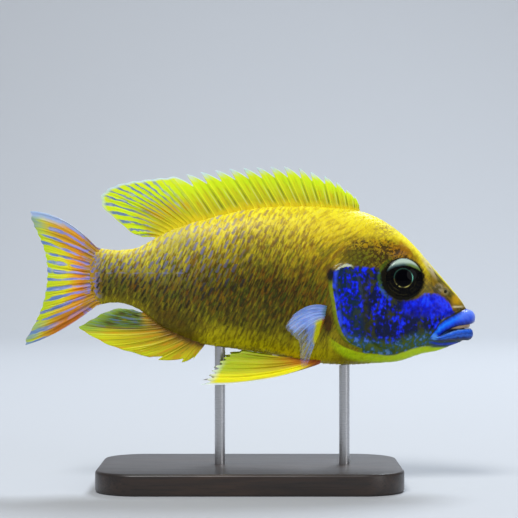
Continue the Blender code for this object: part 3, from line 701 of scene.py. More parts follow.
def make_scales(name, side, sheet):
    """The scales of one side, each a thin crowned plate that rises to its round rear edge."""
    random = np.random.default_rng(7 if side > 0 else 8)
    centres = scale_centres(sheet)
    middle = sheet.point(centres[:, 0], centres[:, 1])
    ahead = gill_edge(middle[:, 2]) + 0.3 - centres[:, 0]
    centres = centres[(ahead > 0) & (centres[:, 0] > tail_arc(middle[:, 2]))]
    middle = sheet.point(centres[:, 0], centres[:, 1])
    count = len(centres)
    x, away, pitch, height = (column[:, None, None] for column in centres.T)
    columns, rows = SCALE_GRID
    across = np.linspace(-1, 1, rows)[None, None, :]
    along = np.linspace(0, 1, columns)[None, :, None]
    jitter = 1 + SCALE_JITTER * random.standard_normal((count, 1, 1))
    rear = SCALE_REAR * np.clip(1 - np.abs(across * 0.985) ** 2.3, 0, 1) ** 0.5 * jitter
    front = -SCALE_FRONT * np.clip(1 - (across * 0.9) ** 2, 0, 1) ** 0.3
    a = front + (rear - front) * along ** 0.85
    b = across * (0.88 + 0.12 * np.sin(pi * along))
    lean = SCALE_LEAN * random.standard_normal((count, 1, 1))
    place_x = x - a * pitch
    place_away = away + b * height * SCALE_HALF_HEIGHT + lean * a * height
    top, bottom = sheet.edges(place_x)
    place_away = np.clip(place_away, top + 0.02, bottom - 0.02)
    surface = sheet.point(place_x, place_away)
    top, bottom = sheet.edges(centres[:, 0])
    normal = sheet.normal(centres[:, 0], np.clip(centres[:, 1], top + 0.4, bottom - 0.4))[:, None, None, :]
    share = (a + SCALE_FRONT) / (SCALE_FRONT + SCALE_REAR)
    full = scaly_share(centres[:, 0], middle[:, 2])[:, None, None]
    proud = -SCALE_DEPTH - 0.06 + (SCALE_DEPTH + 0.03) * share ** 0.9 - 0.08 * b ** 2
    flat = -HEAD_DEPTH - 0.16 + 0.20 * share - 0.06 * b ** 2
    lift = flat + (proud - flat) * full + SCALE_UNEVEN * random.standard_normal((count, 1, 1))
    upper = surface + normal * lift[..., None]
    lower = upper - normal * SCALE_THICK
    upper[..., 1] *= side
    lower[..., 1] *= side
    each = 2 * columns * rows
    points = np.stack([upper, lower], 1).reshape(-1, 3)
    plate = sheet_faces(columns, rows, one_back=True)
    faces = [tuple(v + k * each for v in face) for k in range(count) for face in plate]
    piece = mesh_piece(name, points, faces)
    if side < 0:
        piece.data.flip_normals()
    local = np.stack([np.broadcast_to(share, a.shape), np.broadcast_to(b * 0.5 + 0.5, a.shape)], -1)
    local = np.stack([local, local], 1).reshape(-1, 2)
    set_uv(piece, "scale", local)
    turn = sheet.turn_at(centres[:, 0], centres[:, 1]) / pi
    down_skin = 0.5 * turn if side > 0 else 1 - 0.5 * turn
    roots = np.stack([(centres[:, 0] + 50) / 115, down_skin], -1)
    set_uv(piece, "OFBake", np.repeat(roots, each, axis=0) + (local - 0.5) * 0.003)
    pored = (np.abs(centres[:, 1]) < 0.1) & (centres[:, 0] < PORED_UNTIL)
    for label, values in (("tone", random.random(count)), ("pored", pored)):
        values = np.repeat(values, each).astype(np.float32)
        piece.data.attributes.new(label, "FLOAT", "POINT").data.foreach_set("value", values)
    return smooth_shaded(piece, 50)


# The fins


def fin_sheet(name, rays, spines, point_at, crest, web, reach_at, seat, rows=40, gaps=14,
              ray_width=0.26, billow=0.18):
    """A fin in fine detail: rays raised on a thin web, branched where they are soft.

    point_at(ray, share) is the middle surface; crest and web are half thicknesses at root and tip.
    """
    ray = np.linspace(0, rays - 1, (rays - 1) * gaps + 1)[:, None]
    level = np.linspace(0, 1, rows + 1)[None, :]
    reach = reach_at(ray)
    share = level * reach
    part = ray % 1
    near = np.minimum(part, 1 - part)
    step = 0.02
    before, after = np.maximum(ray - step, 0), np.minimum(ray + step, rays - 1)
    across = point_at(after, share) - point_at(before, share)
    along = point_at(ray, share + step) - point_at(ray, share - step)
    spacing = np.linalg.norm(across, axis=-1) / (after - before)
    out = unit(np.cross(across, along))
    softness = np.clip(ray - spines + 1, 0, 1)
    first = softness * FIRST_FORK * smooth_step(share, 0.35, 0.75)
    second = softness * SECOND_FORK * smooth_step(share, 0.68, 0.95)
    gap = np.minimum(np.abs(near - first - second), np.abs(near - first + second)) * spacing
    width = ray_width * (1 - 0.45 * share)
    ridge = np.exp(-(gap / width) ** 2)
    web_thick = web[0] + (web[1] - web[0]) * share ** 0.7
    crest_thick = crest[0] + (crest[1] - crest[0]) * share ** 0.7
    edge = smooth_step(1 - level, 0.0, 0.05)
    thick = (web_thick + (crest_thick - web_thick) * ridge) * (0.45 + 0.55 * edge)
    wave = billow * np.sin(pi * part) * np.sin(pi * np.clip(share, 0, 1) ** 0.8)
    wave = wave * np.sign(np.sin(ray * 2.4 + 1))
    centre = point_at(ray, share) + out * (wave * (1 - ridge))[..., None]
    one = centre + out * thick[..., None]
    other = centre - out * thick[..., None]
    one[:, 0], other[:, 0] = seat(one[:, 0]), seat(other[:, 0])
    piece = slab(name, one, other)
    values = np.stack([np.broadcast_to(ray / FIN_UV_RAYS, share.shape), share], -1).reshape(-1, 2)
    set_uv(piece, "fin", np.concatenate([values, values]))
    level = np.tile(np.broadcast_to(level, share.shape).ravel(), 2).astype(np.float32)
    piece.data.attributes.new("level", "FLOAT", "POINT").data.foreach_set("value", level)
    return smooth_shaded(piece, 60)


def bowed(root, tip, bow, share):
    """The point at a share of the way from root to tip, off the straight line by bow at its middle."""
    share = share[..., None]
    return root + (tip - root) * share + bow * 4 * share * (1 - share)


def xyz(x, y, z):
    return np.stack(np.broadcast_arrays(x, y, z), -1).astype(float)


def toothed_reach(spines, notch, scallop=0.02):
    """Each spine has a notch of web behind it, and the soft part's edge is softly scalloped."""
    def reach_at(ray):
        past = ray % 1
        near = np.minimum(past, 1 - past)
        spine_gap = 1 - notch * (1 - past) ** 1.7 * smooth_step(past, 0.0, 0.10)
        return np.where(ray < spines, spine_gap, 1 - scallop * smooth_step(near, 0.05, 0.5))
    return reach_at


def tables(rows, count):
    """Each row's values as functions of its first, the ray's number."""
    return [curve_through([(row[0], row[k]) for row in rows]) for k in range(1, count + 1)]


def make_dorsal_fin():
    root_x = curve_through(DORSAL_ROOT_X)
    tip_x, tip_z = tables(DORSAL_TIP, 2)

    def point_at(ray, share):
        x = root_x(ray)
        softness = np.clip(ray - DORSAL_SPINES, 0, None) / (DORSAL_RAYS - DORSAL_SPINES)
        last = 1 - 0.9 * smooth_step(ray, DORSAL_RAYS - 5, DORSAL_RAYS - 1)
        bow = xyz(-0.2, 0, 1.0) * ((0.4 + 1.6 * softness) * last)[..., None]
        sway = xyz(0, 0.7 * np.sin(ray * 0.55) * share ** 2, 0)
        return bowed(xyz(x, 0, back_z(x)), xyz(tip_x(ray), 0, tip_z(ray)), bow, share) + sway

    def seat(points):
        points[:, 2] = back_z(points[:, 0]) - FIN_ROOT_DEPTH
        return points

    return fin_sheet("dorsal_web", DORSAL_RAYS, DORSAL_SPINES, point_at, (0.55, 0.2), (0.26, 0.13),
                     toothed_reach(DORSAL_SPINES - 1, 0.36), seat)


def make_tail_fin():
    root_z = curve_through(TAIL_ROOT_Z)
    tip_x, tip_z = tables(TAIL_TIP, 2)
    middle = (TAIL_RAYS - 1) / 2

    def point_at(ray, share):
        spread = (middle - ray) / middle
        bow = xyz(0, 0, np.where(spread > 0, 2.7, 1.4) * spread ** 3)
        sway = xyz(0, 1.1 * np.sin(ray * 0.37 + 0.6) * share ** 2, 0)
        root = xyz(BODY_START - 0.3, 0, root_z(ray))
        return bowed(root, xyz(tip_x(ray), 0, tip_z(ray)), bow, share) + sway

    def seat(points):
        sign = np.sign(points[:, 1])
        points[:, 1] = sign * np.maximum(side_y(BODY_START, points[:, 2]) - SCALE_DEPTH, 0.15)
        points[:, 0] = BODY_START + 0.6
        return points

    return fin_sheet("tail_web", TAIL_RAYS, 0, point_at, (0.9, 0.2), (0.62, 0.12),
                     toothed_reach(0, 0, 0.015), seat, rows=48, gaps=16)


def make_anal_fin():
    root_x = curve_through(ANAL_ROOT_X)
    tip_x, tip_z = tables(ANAL_TIP, 2)

    def point_at(ray, share):
        x = root_x(ray)
        ends = np.clip(ray / 4, 0, 1) * np.clip((ANAL_RAYS - ray) / 4, 0, 1)
        bow = xyz(-0.2, 0, -0.7) * ends[..., None]
        sway = xyz(0, 0.8 * np.sin(ray * 0.5 + 1) * share ** 2, 0)
        return bowed(xyz(x, 0, belly_z(x)), xyz(tip_x(ray), 0, tip_z(ray)), bow, share) + sway

    def seat(points):
        points[:, 2] = belly_z(points[:, 0]) + FIN_ROOT_DEPTH
        return points

    return fin_sheet("anal_web", ANAL_RAYS, ANAL_SPINES, point_at, (0.5, 0.2), (0.26, 0.13),
                     toothed_reach(ANAL_SPINES - 0.5, 0.25), seat, gaps=18)


def make_pelvic_fin(name, side):
    root_x, root_y = tables(PELVIC_ROOT, 2)
    tip_x, tip_z, tip_y = tables(PELVIC_TIP, 3)

    def point_at(ray, share):
        x, y = root_x(ray), root_y(ray)
        root = xyz(x, side * y, underside_z(x, y))
        front = np.clip(1 - ray / (PELVIC_RAYS - 1), 0, 1)
        bow = xyz(0, side * 0.5, -1.9 * front)
        return bowed(root, xyz(tip_x(ray), side * tip_y(ray), tip_z(ray)), bow, share)

    def seat(points):
        points[:, 2] = underside_z(points[:, 0], points[:, 1]) + FIN_ROOT_DEPTH
        return points

    return fin_sheet(name, PELVIC_RAYS, 1, point_at, (0.65, 0.2), (0.3, 0.13),
                     toothed_reach(0, 0, 0.05), seat, gaps=18)


def make_pectoral_fin(name, side):
    root_x, root_z = tables(PECTORAL_ROOT, 2)
    tip_x, tip_z, tip_y = tables(PECTORAL_TIP, 3)

    def point_at(ray, share):
        x, z = root_x(ray), root_z(ray)
        root = xyz(x, side * side_y(x, z), z)
        upper = np.clip(1 - ray / (PECTORAL_RAYS - 1), 0, 1)
        bow = xyz(-0.3, side * 1.4, 1.5 * upper)
        return bowed(root, xyz(tip_x(ray), side * tip_y(ray), tip_z(ray)), bow, share)

    def seat(points):
        points[:, 1] = side * (side_y(points[:, 0], points[:, 2]) - FIN_ROOT_DEPTH)
        return points

    return fin_sheet(name, PECTORAL_RAYS, 1, point_at, (0.34, 0.13), (0.17, 0.08),
                     toothed_reach(0, 0, 0.012), seat, gaps=14, ray_width=0.16, billow=0.05)


# The eyes


def make_eye(name, side):
    """An eyeball: a smooth dome, as the clear front of an eye is."""
    centre, axis = eye_frame(side)
    rim = EYE_RADIUS - 0.1
    profile = [(r, EYE_DEPTH - EYE_DROP * (r / SOCKET_RADIUS) ** 2) for r in np.linspace(0, rim, 34)]
    for lean in np.linspace(0.2, pi / 2, 10)[:-1]:
        profile.append((rim * cos(lean), EYE_WALL - EYE_BOWL * sin(lean)))
    profile.append((0, EYE_WALL - EYE_BOWL))
    return smooth_shaded(lathe(name, profile, 96, centre, axis))


def make_mouth():
    """The inner lip of the upper jaw, and the floor of the mouth behind it."""
    inner = make_lip("mouth_lining", INNER_LIP, 0.0)
    floor = lathe("floor", ball_profile(1.0, 1.0, 16), 32, np.zeros(3), np.array([0.0, 1.0, 0.0]))
    floor.scale = MOUTH_FLOOR_SIZE
    floor.location = in_metres(MOUTH_FLOOR) - in_metres((0, 0, 0)) * np.array(MOUTH_FLOOR_SIZE)
    select_only(floor)
    bpy.ops.object.transform_apply(location=True, rotation=False, scale=True)
    return smooth_shaded(join_into(inner, [floor]))


# Materials, whose masks are in millimetres: a.step(low, high) climbs, a.near(middle, half) is a hump


def srgb(red, green, blue):
    """A colour from 0 to 255 a channel, as shader values."""
    values = [c / 255 for c in (red, green, blue)]
    return tuple(c / 12.92 if c <= 0.04045 else ((c + 0.055) / 1.055) ** 2.4 for c in values) + (1.0,)


class Value:
    """What a node puts out. Sums, products and the like of values are nodes too."""

    def __init__(self, maker, socket):
        self.maker = maker
        self.socket = socket

    def __add__(self, other):
        return self.maker.math("ADD", self, other)

    def __radd__(self, other):
        return self.maker.math("ADD", other, self)

    def __sub__(self, other):
        return self.maker.math("SUBTRACT", self, other)

    def __rsub__(self, other):
        return self.maker.math("SUBTRACT", other, self)

    def __mul__(self, other):
        return self.maker.math("MULTIPLY", self, other)

    def __truediv__(self, other):
        return self.maker.math("DIVIDE", self, other)

    def __abs__(self):
        return self.maker.math("ABSOLUTE", self)

    def at_most(self, other):
        return self.maker.math("MINIMUM", self, other)

    def at_least(self, other):
        return self.maker.math("MAXIMUM", self, other)

    def step(self, low, high):
        """0 at low, 1 at high, and smooth between. low may be the larger."""
        return self.maker.made("MapRange", {"Value": self, "From Min": low, "From Max": high},
                               interpolation_type="SMOOTHSTEP")

    def near(self, middle, half):
        """1 at middle, falling to 0 at half to each side."""
        return abs(self - middle).step(half, 0)

    def lay(self, share, colour):
        """Lays a colour over this one, by its share."""
        self.socket = self.maker.mix(share, self, colour).socket


class Maker:
    """Adds nodes to one tree. An input is a number, a vector, a value or a colour from 0 to 255."""

    def __init__(self, tree):
        self.tree = tree

    def add(self, kind, inputs=None, **settings):
        node = self.tree.nodes.new(kind)
        for setting, value in settings.items():
            setattr(node, setting, value)
        for key, value in (inputs or {}).items():
            self.feed(node.inputs[key], value)
        return node

    def made(self, kind, inputs=None, output=0, **settings):
        """The value that a new shader node puts out."""
        return Value(self, self.add("ShaderNode" + kind, inputs, **settings).outputs[output])

    def feed(self, socket, value):
        if isinstance(value, Value):
            self.tree.links.new(value.socket, socket)
        else:
            socket.default_value = srgb(*value) if socket.type == "RGBA" else value

    def math(self, operation, a, b=0, clamp=False):
        return self.made("Math", {0: a, 1: b}, operation=operation, use_clamp=clamp)

    def length(self, a, b):
        return self.math("SQRT", self.math("POWER", a, 2) + self.math("POWER", b, 2))

    def vector(self, operation, a, b=(0, 0, 0), output=0):
        return self.made("VectorMath", {0: a, 1: b}, output, operation=operation)

    def place(self):
        return self.made("TexCoord", output="Object")

    def attribute(self, name):
        return self.made("Attribute", output="Fac", attribute_name=name)

    def split(self, vector):
        return [Value(self, part) for part in self.add("ShaderNodeSeparateXYZ", {0: vector}).outputs]

    def joined(self, x, y, z=0):
        return self.made("CombineXYZ", {0: x, 1: y, 2: z})

    def mix(self, share, a, b, blend="MIX"):
        return self.made("Mix", {0: share, 6: a, 7: b}, 2, data_type="RGBA", blend_type=blend)

    def ramp(self, value, stops):
        """Colours along a value, from (at, red, green, blue)."""
        node = self.add("ShaderNodeValToRGB", {"Fac": value})
        elements = node.color_ramp.elements
        while len(elements) < len(stops):
            elements.new(0.5)
        for element, (at, *colour) in zip(elements, stops):
            element.position = at
            element.color = srgb(*colour)
        return Value(self, node.outputs[0])

    def line(self, at, points):
        """A smooth line through (at, value) pairs, read off for an input."""
        lows, highs = [min(c) for c in zip(*points)], [max(c) for c in zip(*points)]
        spans = [high - low for low, high in zip(lows, highs)]
        share = self.made("MapRange", {"Value": at, "From Min": lows[0], "From Max": highs[0]})
        node = self.add("ShaderNodeFloatCurve", {"Value": share})
        curve = node.mapping.curves[0]
        spots = sorted(((p[0] - lows[0]) / spans[0], (p[1] - lows[1]) / spans[1]) for p in points)
        while len(curve.points) < len(spots):
            curve.points.new(0.5, 0.5)
        for point, spot in zip(curve.points, spots):
            point.location = spot
        node.mapping.update()
        return Value(self, node.outputs[0]) * spans[1] + lows[1]

    def noise(self, place, scale, detail=3, rough=0.5, distortion=0):
        return self.made("TexNoise", {"Vector": place, "Scale": scale, "Detail": detail,
                                      "Roughness": rough, "Distortion": distortion}, "Fac")

    def stretched(self, place, scale=(1, 1, 1), turn=(0, 0, 0)):
        return self.made("Mapping", {"Vector": place, "Scale": scale, "Rotation": turn})

    def bumped(self, height, strength, distance):
        """A normal for the heights of a surface."""
        return self.made("Bump", {"Strength": strength, "Distance": distance, "Height": height})

    def grouped(self, group):
        """A node group's outputs by name."""
        node = self.add("ShaderNodeGroup", node_tree=group)
        return {output.name: Value(self, output) for output in node.outputs}


SOCKETS = {"VALUE": "NodeSocketFloat", "RGBA": "NodeSocketColor", "VECTOR": "NodeSocketVector"}


def node_group(name, fill):
    """A shader node group that puts out, by name, the values that fill makes."""
    tree = bpy.data.node_groups.new(name, "ShaderNodeTree")
    maker = Maker(tree)
    values = fill(maker)
    for label, value in values.items():
        tree.interface.new_socket(label, in_out="OUTPUT", socket_type=SOCKETS[value.socket.type])
    out = maker.add("NodeGroupOutput").inputs
    for label, value in values.items():
        maker.feed(out[label], value)
    return tree


def new_material(name, **settings):
    """A material with its maker and its Principled shader, with constants on the shader."""
    made = bpy.data.materials.new(name)
    made.use_nodes = True
    m = Maker(made.node_tree)
    shader = made.node_tree.nodes["Principled BSDF"]
    for label, value in settings.items():
        m.feed(shader.inputs[label.replace("_", " ")], value)
    return made, m, shader.inputs


def fish_place(m):
    """Where a point lies on the fish, in millimetres, and its height from belly to back."""
    moved = m.vector("SUBTRACT", m.place(), (0, 0, AXIS_HEIGHT))
    scaled = m.made("VectorMath", {0: moved, "Scale": 1 / MM}, operation="SCALE")
    x, y, z = m.split(scaled)
    back, belly = m.line(x, BACK), m.line(x, BELLY)
    return {"Place": scaled, "X": x, "Z": z, "Side": abs(y), "Height": (z - belly) / (back - belly)}


# Colours from belly to back: in the middle, to the rear and to the front, then the weave's two tones
# All these ramps are darkest about the flank's middle: partly the fish's own colour and partly painted
# shade on the flank.
TRUNK_MIDDLE = ((0, 232, 216, 12), (0.07, 196, 182, 8), (0.18, 116, 110, 6), (0.32, 74, 70, 8),
                (0.5, 72, 66, 10), (0.62, 112, 102, 18), (0.74, 182, 166, 26), (0.87, 238, 218, 32),
                (1, 255, 242, 44))
TRUNK_REAR = ((0, 140, 130, 20), (0.2, 96, 92, 18), (0.42, 100, 94, 30), (0.56, 140, 134, 52),
              (0.8, 198, 190, 68), (1, 248, 234, 86))
TRUNK_FRONT = ((0, 222, 206, 10), (0.12, 190, 176, 8), (0.28, 126, 118, 10), (0.46, 98, 88, 8),
               (0.6, 124, 104, 8), (0.74, 186, 156, 12), (0.86, 238, 214, 26), (1, 255, 246, 48))
FOREHEAD = ((0, 140, 128, 10), (0.42, 62, 58, 10), (0.56, 80, 72, 12), (0.68, 122, 100, 10),
            (0.79, 188, 158, 14), (0.9, 240, 220, 32), (1, 254, 244, 50))
WEAVE_DARK = ((0, 160, 146, 6), (0.2, 64, 60, 6), (0.45, 26, 24, 8), (0.62, 54, 44, 12),
              (0.78, 122, 98, 26), (0.9, 190, 160, 40), (1, 226, 200, 44))
WEAVE_LIGHT = ((0, 220, 208, 16), (0.2, 150, 142, 10), (0.45, 120, 108, 14), (0.62, 168, 148, 20),
               (0.8, 242, 222, 40), (1, 255, 250, 90))

# The blue of the face: its upper edge and its lower edge across the side view
FACE_TOP = ((22, 0.5), (24.6, 2), (27.2, 3.1), (29.8, 2.5), (33, 2.4), (36.2, 1.8), (37.4, -2.2),
            (38.4, -4.4), (41.5, -6.6), (46, -6.8), (50, -5.2), (53, -5.4), (55.4, -6.9), (57, -8.6),
            (58, -10.4), (65, -11))
FACE_BOTTOM = ((22, -17), (25.5, -19.6), (29, -21.2), (32, -22), (36, -22.4), (39.6, -22.8), (43, -22),
               (48.7, -20.4), (54, -20), (58, -19.6), (65, -18))
LIP_TOP = ((50.6, -18.4), (51.8, -16.4), (52.7, -15.3), (53.7, -13.8), (54.6, -13.1), (55.8, -12.3),
           (57.5, -11.5), (58.9, -10.8), (60.6, -10), (61.8, -9.4), (65, -9.2))
UPPER_EDGE = ((51, -18), (53, -17.8), (54.7, -16.6), (56.3, -15.6), (58.2, -14.75), (60.1, -14.3),
              (62.9, -14.05), (65, -13.9))
LOWER_EDGE = ((51, -18.1), (54, -17.3), (56, -16.5), (58, -15.8), (61, -15.2), (65, -15))
LIP_BOTTOM = ((50.6, -18.2), (52.2, -18.5), (54.6, -18.9), (57, -18.8), (60.6, -18.8), (62.7, -18.9),
              (65, -19.2))

# The face's blue spots by their strength, and the lips from their upper edge to their lower
SPOTS = ((0.44, 12, 24, 84), (0.53, 8, 22, 150), (0.62, 6, 24, 214), (0.74, 20, 56, 252))
# The upper lip's ramps carry painted shade at the crease of their top edge and towards their lower edge,
# and a painted highlight over their upper middle. The lower lip's ramp is palest at its top, a painted
# highlight. The blues beneath are the lips' own.
UPPER_LIP_REAR = ((0, 18, 36, 96), (0.14, 12, 70, 206), (0.38, 22, 122, 255), (0.7, 10, 66, 226),
                  (0.9, 18, 34, 120), (1, 24, 30, 54))
UPPER_LIP_FRONT = ((0, 60, 84, 170), (0.25, 96, 132, 250), (0.65, 52, 88, 226), (0.9, 36, 52, 150),
                   (1, 30, 36, 70))
LOWER_LIP_BAND = ((0, 116, 166, 246), (0.18, 36, 100, 226), (0.4, 22, 66, 158), (0.52, 48, 100, 206),
                  (0.72, 26, 48, 108), (1, 58, 62, 40))


def round_spot(m, x, z, at, inner, outer):
    """1 within the inner distance of a point of the side view, falling to 0 at the outer."""
    away = m.length(x - at[0], z - at[1])
    return away.step(outer, inner)


def trunk_colour(m, where, fine):
    """The body: bands from belly to back, under a weave of short streaks that lean forward."""
    place, x, z, height = where["Place"], where["X"], where["Z"], where["Height"]
    broad = m.noise(place, 0.12, 2)
    level = height + (broad - 0.5) * 0.16
    rear, front = x.step(-4, -30), x.step(6, 24)
    # The bands' dark middle is partly the fish's own colour and partly painted shade on the flank.
    colour = m.mix(rear, m.ramp(level, TRUNK_MIDDLE), m.ramp(level, TRUNK_REAR))
    colour.lay(front, m.ramp(level, TRUNK_FRONT))
    head = (x + z * -0.25).step(26, 33)
    colour.lay(head, m.ramp(height + (fine - 0.5) * 0.25, FOREHEAD))
    lean = 0.4 + x.step(14, 34) * 0.55
    slid = x - z * lean
    woven = m.joined(slid * 1.5, where["Side"] * 0.5, z * 0.42)
    weave = m.noise(woven, 1, 2, 0.55)
    tint = m.noise(m.stretched(woven, (0.7, 1, 0.8)), 1.3, 1)
    strong = 1 - (x.step(14, 26) * 0.35 + x.step(29, 37) * 0.35)
    colour.lay(weave.step(0.53, 0.38) * strong * 0.85, m.ramp(level, WEAVE_DARK))
    colour.lay(weave.step(0.53, 0.66) * strong * 0.65, m.ramp(level, WEAVE_LIGHT))
    flank = height.step(0.1, 0.35) * height.step(0.95, 0.7)
    colour.lay(tint.step(0.53, 0.68) * flank * 0.4, (128, 80, 6))
    colour.lay(tint.step(0.47, 0.34) * flank * 0.45, (70, 90, 16))
    faded = x.near(-18.5, 11) * z.near(9.5, 5)
    colour.lay(faded * 0.5, (142, 138, 66))
    vent = x.near(-21.5, 11) * level.step(0.3, 0.06)
    return m.mix((vent * 1.3).at_most(0.8), colour, m.mix(fine, (62, 44, 6), (84, 72, 8)))


def nape_colour(m, where, fine, colour):
    """Over the eye and behind it: orange-brown with soft dark blotches. Then the snout."""
    place, x, z, height = where["Place"], where["X"], where["Z"], where["Height"]
    ahead = x + z * 0.9
    brow = x.step(26, 38) * ahead.step(54, 50) * z.near(6.6, 5.4)
    cloudy = m.noise(place, 0.55, 3)
    brow = m.math("MINIMUM", brow * (0.9 + (cloudy - 0.5) * 2.4) * 1.5, 0.92, clamp=True)
    orange = m.mix(cloudy.step(0.38, 0.64), (98, 76, 4), (176, 134, 6))
    rusty = x.near(43, 6.5) * z.near(6.9, 3.2)
    orange.lay(rusty * 0.8, m.mix(fine, (112, 58, 2), (184, 108, 4)))
    colour.lay(brow, orange)
    knots = m.noise(m.stretched(m.stretched(place, turn=(0, 0.6, 0)), (0.8, 1, 1.1)), 1.35, 4, 0.55, 0.25)
    dark = knots.step(0.41, 0.63) * x.step(25, 31) * ahead.step(52.5, 48) * z.near(6, 6.2)
    dark = dark * (2.2 - x.step(38, 43) * 1.2)
    colour.lay(dark.at_most(0.9), m.mix(fine, (30, 22, 6), (66, 48, 8)))
    dusk = x.near(29, 8) * z.near(4.8, 5) * cloudy.step(0.3, 0.55)
    colour.lay((dusk * 1.2).at_most(0.75), (82, 76, 12))
    smear = x.near(38.5, 6) * z.near(13, 3.4) * knots.step(0.38, 0.6)
    colour.lay(smear * 0.9, (150, 122, 56))
    moss = knots.step(0.5, 0.38) * x.near(34, 8) * z.near(4.6, 4.6)
    colour.lay((moss * 1.4).at_most(0.75), m.mix(fine, (70, 80, 14), (120, 128, 22)))
    # The snout: orange and olive, with pale patches and a brown stripe by the nostril
    snout = x.step(48.5, 52.5) * z.step(-12.5, -8.5) * height.step(1, 0.93)
    streaks = m.noise(m.stretched(m.stretched(place, turn=(0, -0.9, 0)), (0.5, 1, 1.3)), 0.8, 3)
    ochre = m.mix(streaks.step(0.4, 0.62), (56, 50, 14), (128, 98, 14))
    colour.lay(snout * 0.92, ochre)
    along = x + (z - 2.4) * 0.62
    pale = along.near(50.9, 1.5) * z.near(2.4, 4.6)
    pale = pale.at_least(round_spot(m, x, z, (53.8, -3.6), 0.3, 1.9) * 0.45)
    colour.lay(pale * streaks.step(0.3, 0.52) * 0.75, (216, 204, 174))
    stripe = (z + (x - 55) * 0.62).near(-6.4, 1.3) * x.step(51, 53) * x.step(59, 57.5)
    colour.lay(stripe * 0.75, (64, 44, 8))
    gold = round_spot(m, x, z, (58.6, -7.2), 0.5, 2)
    colour.lay(gold * 0.7, (206, 160, 12))
    cream = z.near(-9, 0.5) * x.step(57, 58.2) * x.step(61.5, 60)
    return m.mix(cream * 0.85, colour, (214, 200, 150))


def face_colour(m, where, fine, colour):
    """The cheek and the gill cover: vivid blue spots over navy and olive, with a bright rear rim."""
    place, x, z = where["Place"], where["X"], where["Z"]
    top = m.line(x, FACE_TOP) + (fine - 0.5) * 1.8 - z
    bottom = z - m.line(x, FACE_BOTTOM)
    behind = x - m.line(z, COVER_REAR)
    face = top.step(-0.4, 0.6) * bottom.step(-0.3, 0.4) * behind.step(-0.5, 0.1)
    spots = m.noise(m.stretched(place, (1.1, 1, 0.85)), 0.98, 1.5, 0.4)
    areas = m.noise(place, 0.25, 2)
    on_cover = x.step(33.5, 31)
    bright = spots + ((areas - 0.56) * 0.9 + on_cover * 0.05)
    olive = m.noise(m.stretched(place, (1, 1, 0.65)), 0.42, 2, 0.5, 0.3).step(0.49, 0.6)
    ground = m.mix(olive * 0.9, m.mix(fine, (3, 8, 34), (8, 24, 74)),
                   m.mix(fine, (24, 28, 8), (66, 70, 16)))
    ground.lay(on_cover * 0.45, m.mix(fine, (12, 38, 50), (22, 66, 84)))
    cheek = m.mix(bright.step(0.37, 0.65), ground, m.ramp(bright, SPOTS))
    patch = x.step(41, 46) * x.step(60, 55.5) * z.near(-8.6, 5)
    glow = m.ramp(spots * 0.45 + (0.28 + (areas - 0.5) * 0.6),
                  ((0.34, 4, 10, 110), (0.46, 4, 16, 180), (0.58, 6, 36, 240), (0.72, 24, 80, 255)))
    cheek.lay(patch.step(0.1, 0.65), glow)
    groove = m.line(z, tuple((b, a) for a, b in CHEEK_GROOVE))
    dim = (x - groove).near(0.5, 1.3) * z.step(1, -4) * fine.step(0.25, 0.5)
    cheek.lay(dim * 0.85, m.mix(fine, (24, 26, 8), (60, 62, 16)))
    low = (bottom + (fine - 0.5) * 3).step(5.8, 2.2)
    teal = m.ramp(spots, ((0.38, 78, 98, 20), (0.48, 58, 94, 56), (0.58, 52, 98, 134),
                          (0.68, 92, 134, 170)))
    cheek.lay(low * x.step(23.5, 28) * 0.9, teal)
    rim = behind.step(0.6, 1) * behind.step(2.6, 1.5) * z.step(2, 0.5) * z.step(-18.5, -14)
    patchy = m.noise(place, 0.3, 1).step(0.42, 0.55)
    cheek.lay(rim * patchy * 0.85, m.mix(fine, (18, 36, 226), (66, 104, 255)))
    flap = behind.step(1.1, 0.7) * z.step(1, -2)
    cheek.lay(flap, m.mix(fine, (84, 96, 8), (150, 160, 30)))
    colour.lay(face, cheek)
    arc = top.near(0.25, 0.55) * x.step(23.6, 25) * x.step(29.5, 28)
    colour.lay(arc, (206, 212, 170))
    ear = x.near(22.6, 1.7) * z.near(0.2, 3.4)
    colour.lay((ear * 1.5).at_most(0.95), (18, 18, 22))
    fold = bottom.step(0.3, -0.3) * bottom.step(-3.6, -1.8) * x.step(21, 26) * x.step(58.5, 55)
    colour.lay(fold, m.mix(fine, (156, 200, 6), (214, 230, 12)))
    # Painted shade: dark brown at the root of the pectoral fin, just behind the gill cover.
    root_shade = x.near(22, 2) * z.near(-13.5, 5)
    return m.mix((root_shade * 1.4).at_most(0.9), colour, (44, 20, 6)), face


def eye_rim_colour(m, where, fine, colour):
    """Near-black skin round the eye, with a green edge behind it."""
    x, z = where["X"], where["Z"]
    away = m.length(x - EYE_X, z - EYE_Z)
    ringed = away + (fine - 0.5) * 1.4
    ringed = ringed + z.step(1, 5) * 0.6
    dark = ringed.step(7, 5.9)
    colour.lay(dark * 0.97, (5, 6, 4))
    green = ringed.near(6.8, 0.9) * x.step(41, 37)
    colour.lay(green * 0.7, (60, 96, 10))
    fold = away.near(6.4, 0.3) * z.step(-3, -6)
    return m.mix(fold * 0.2, colour, (80, 70, 18)), dark


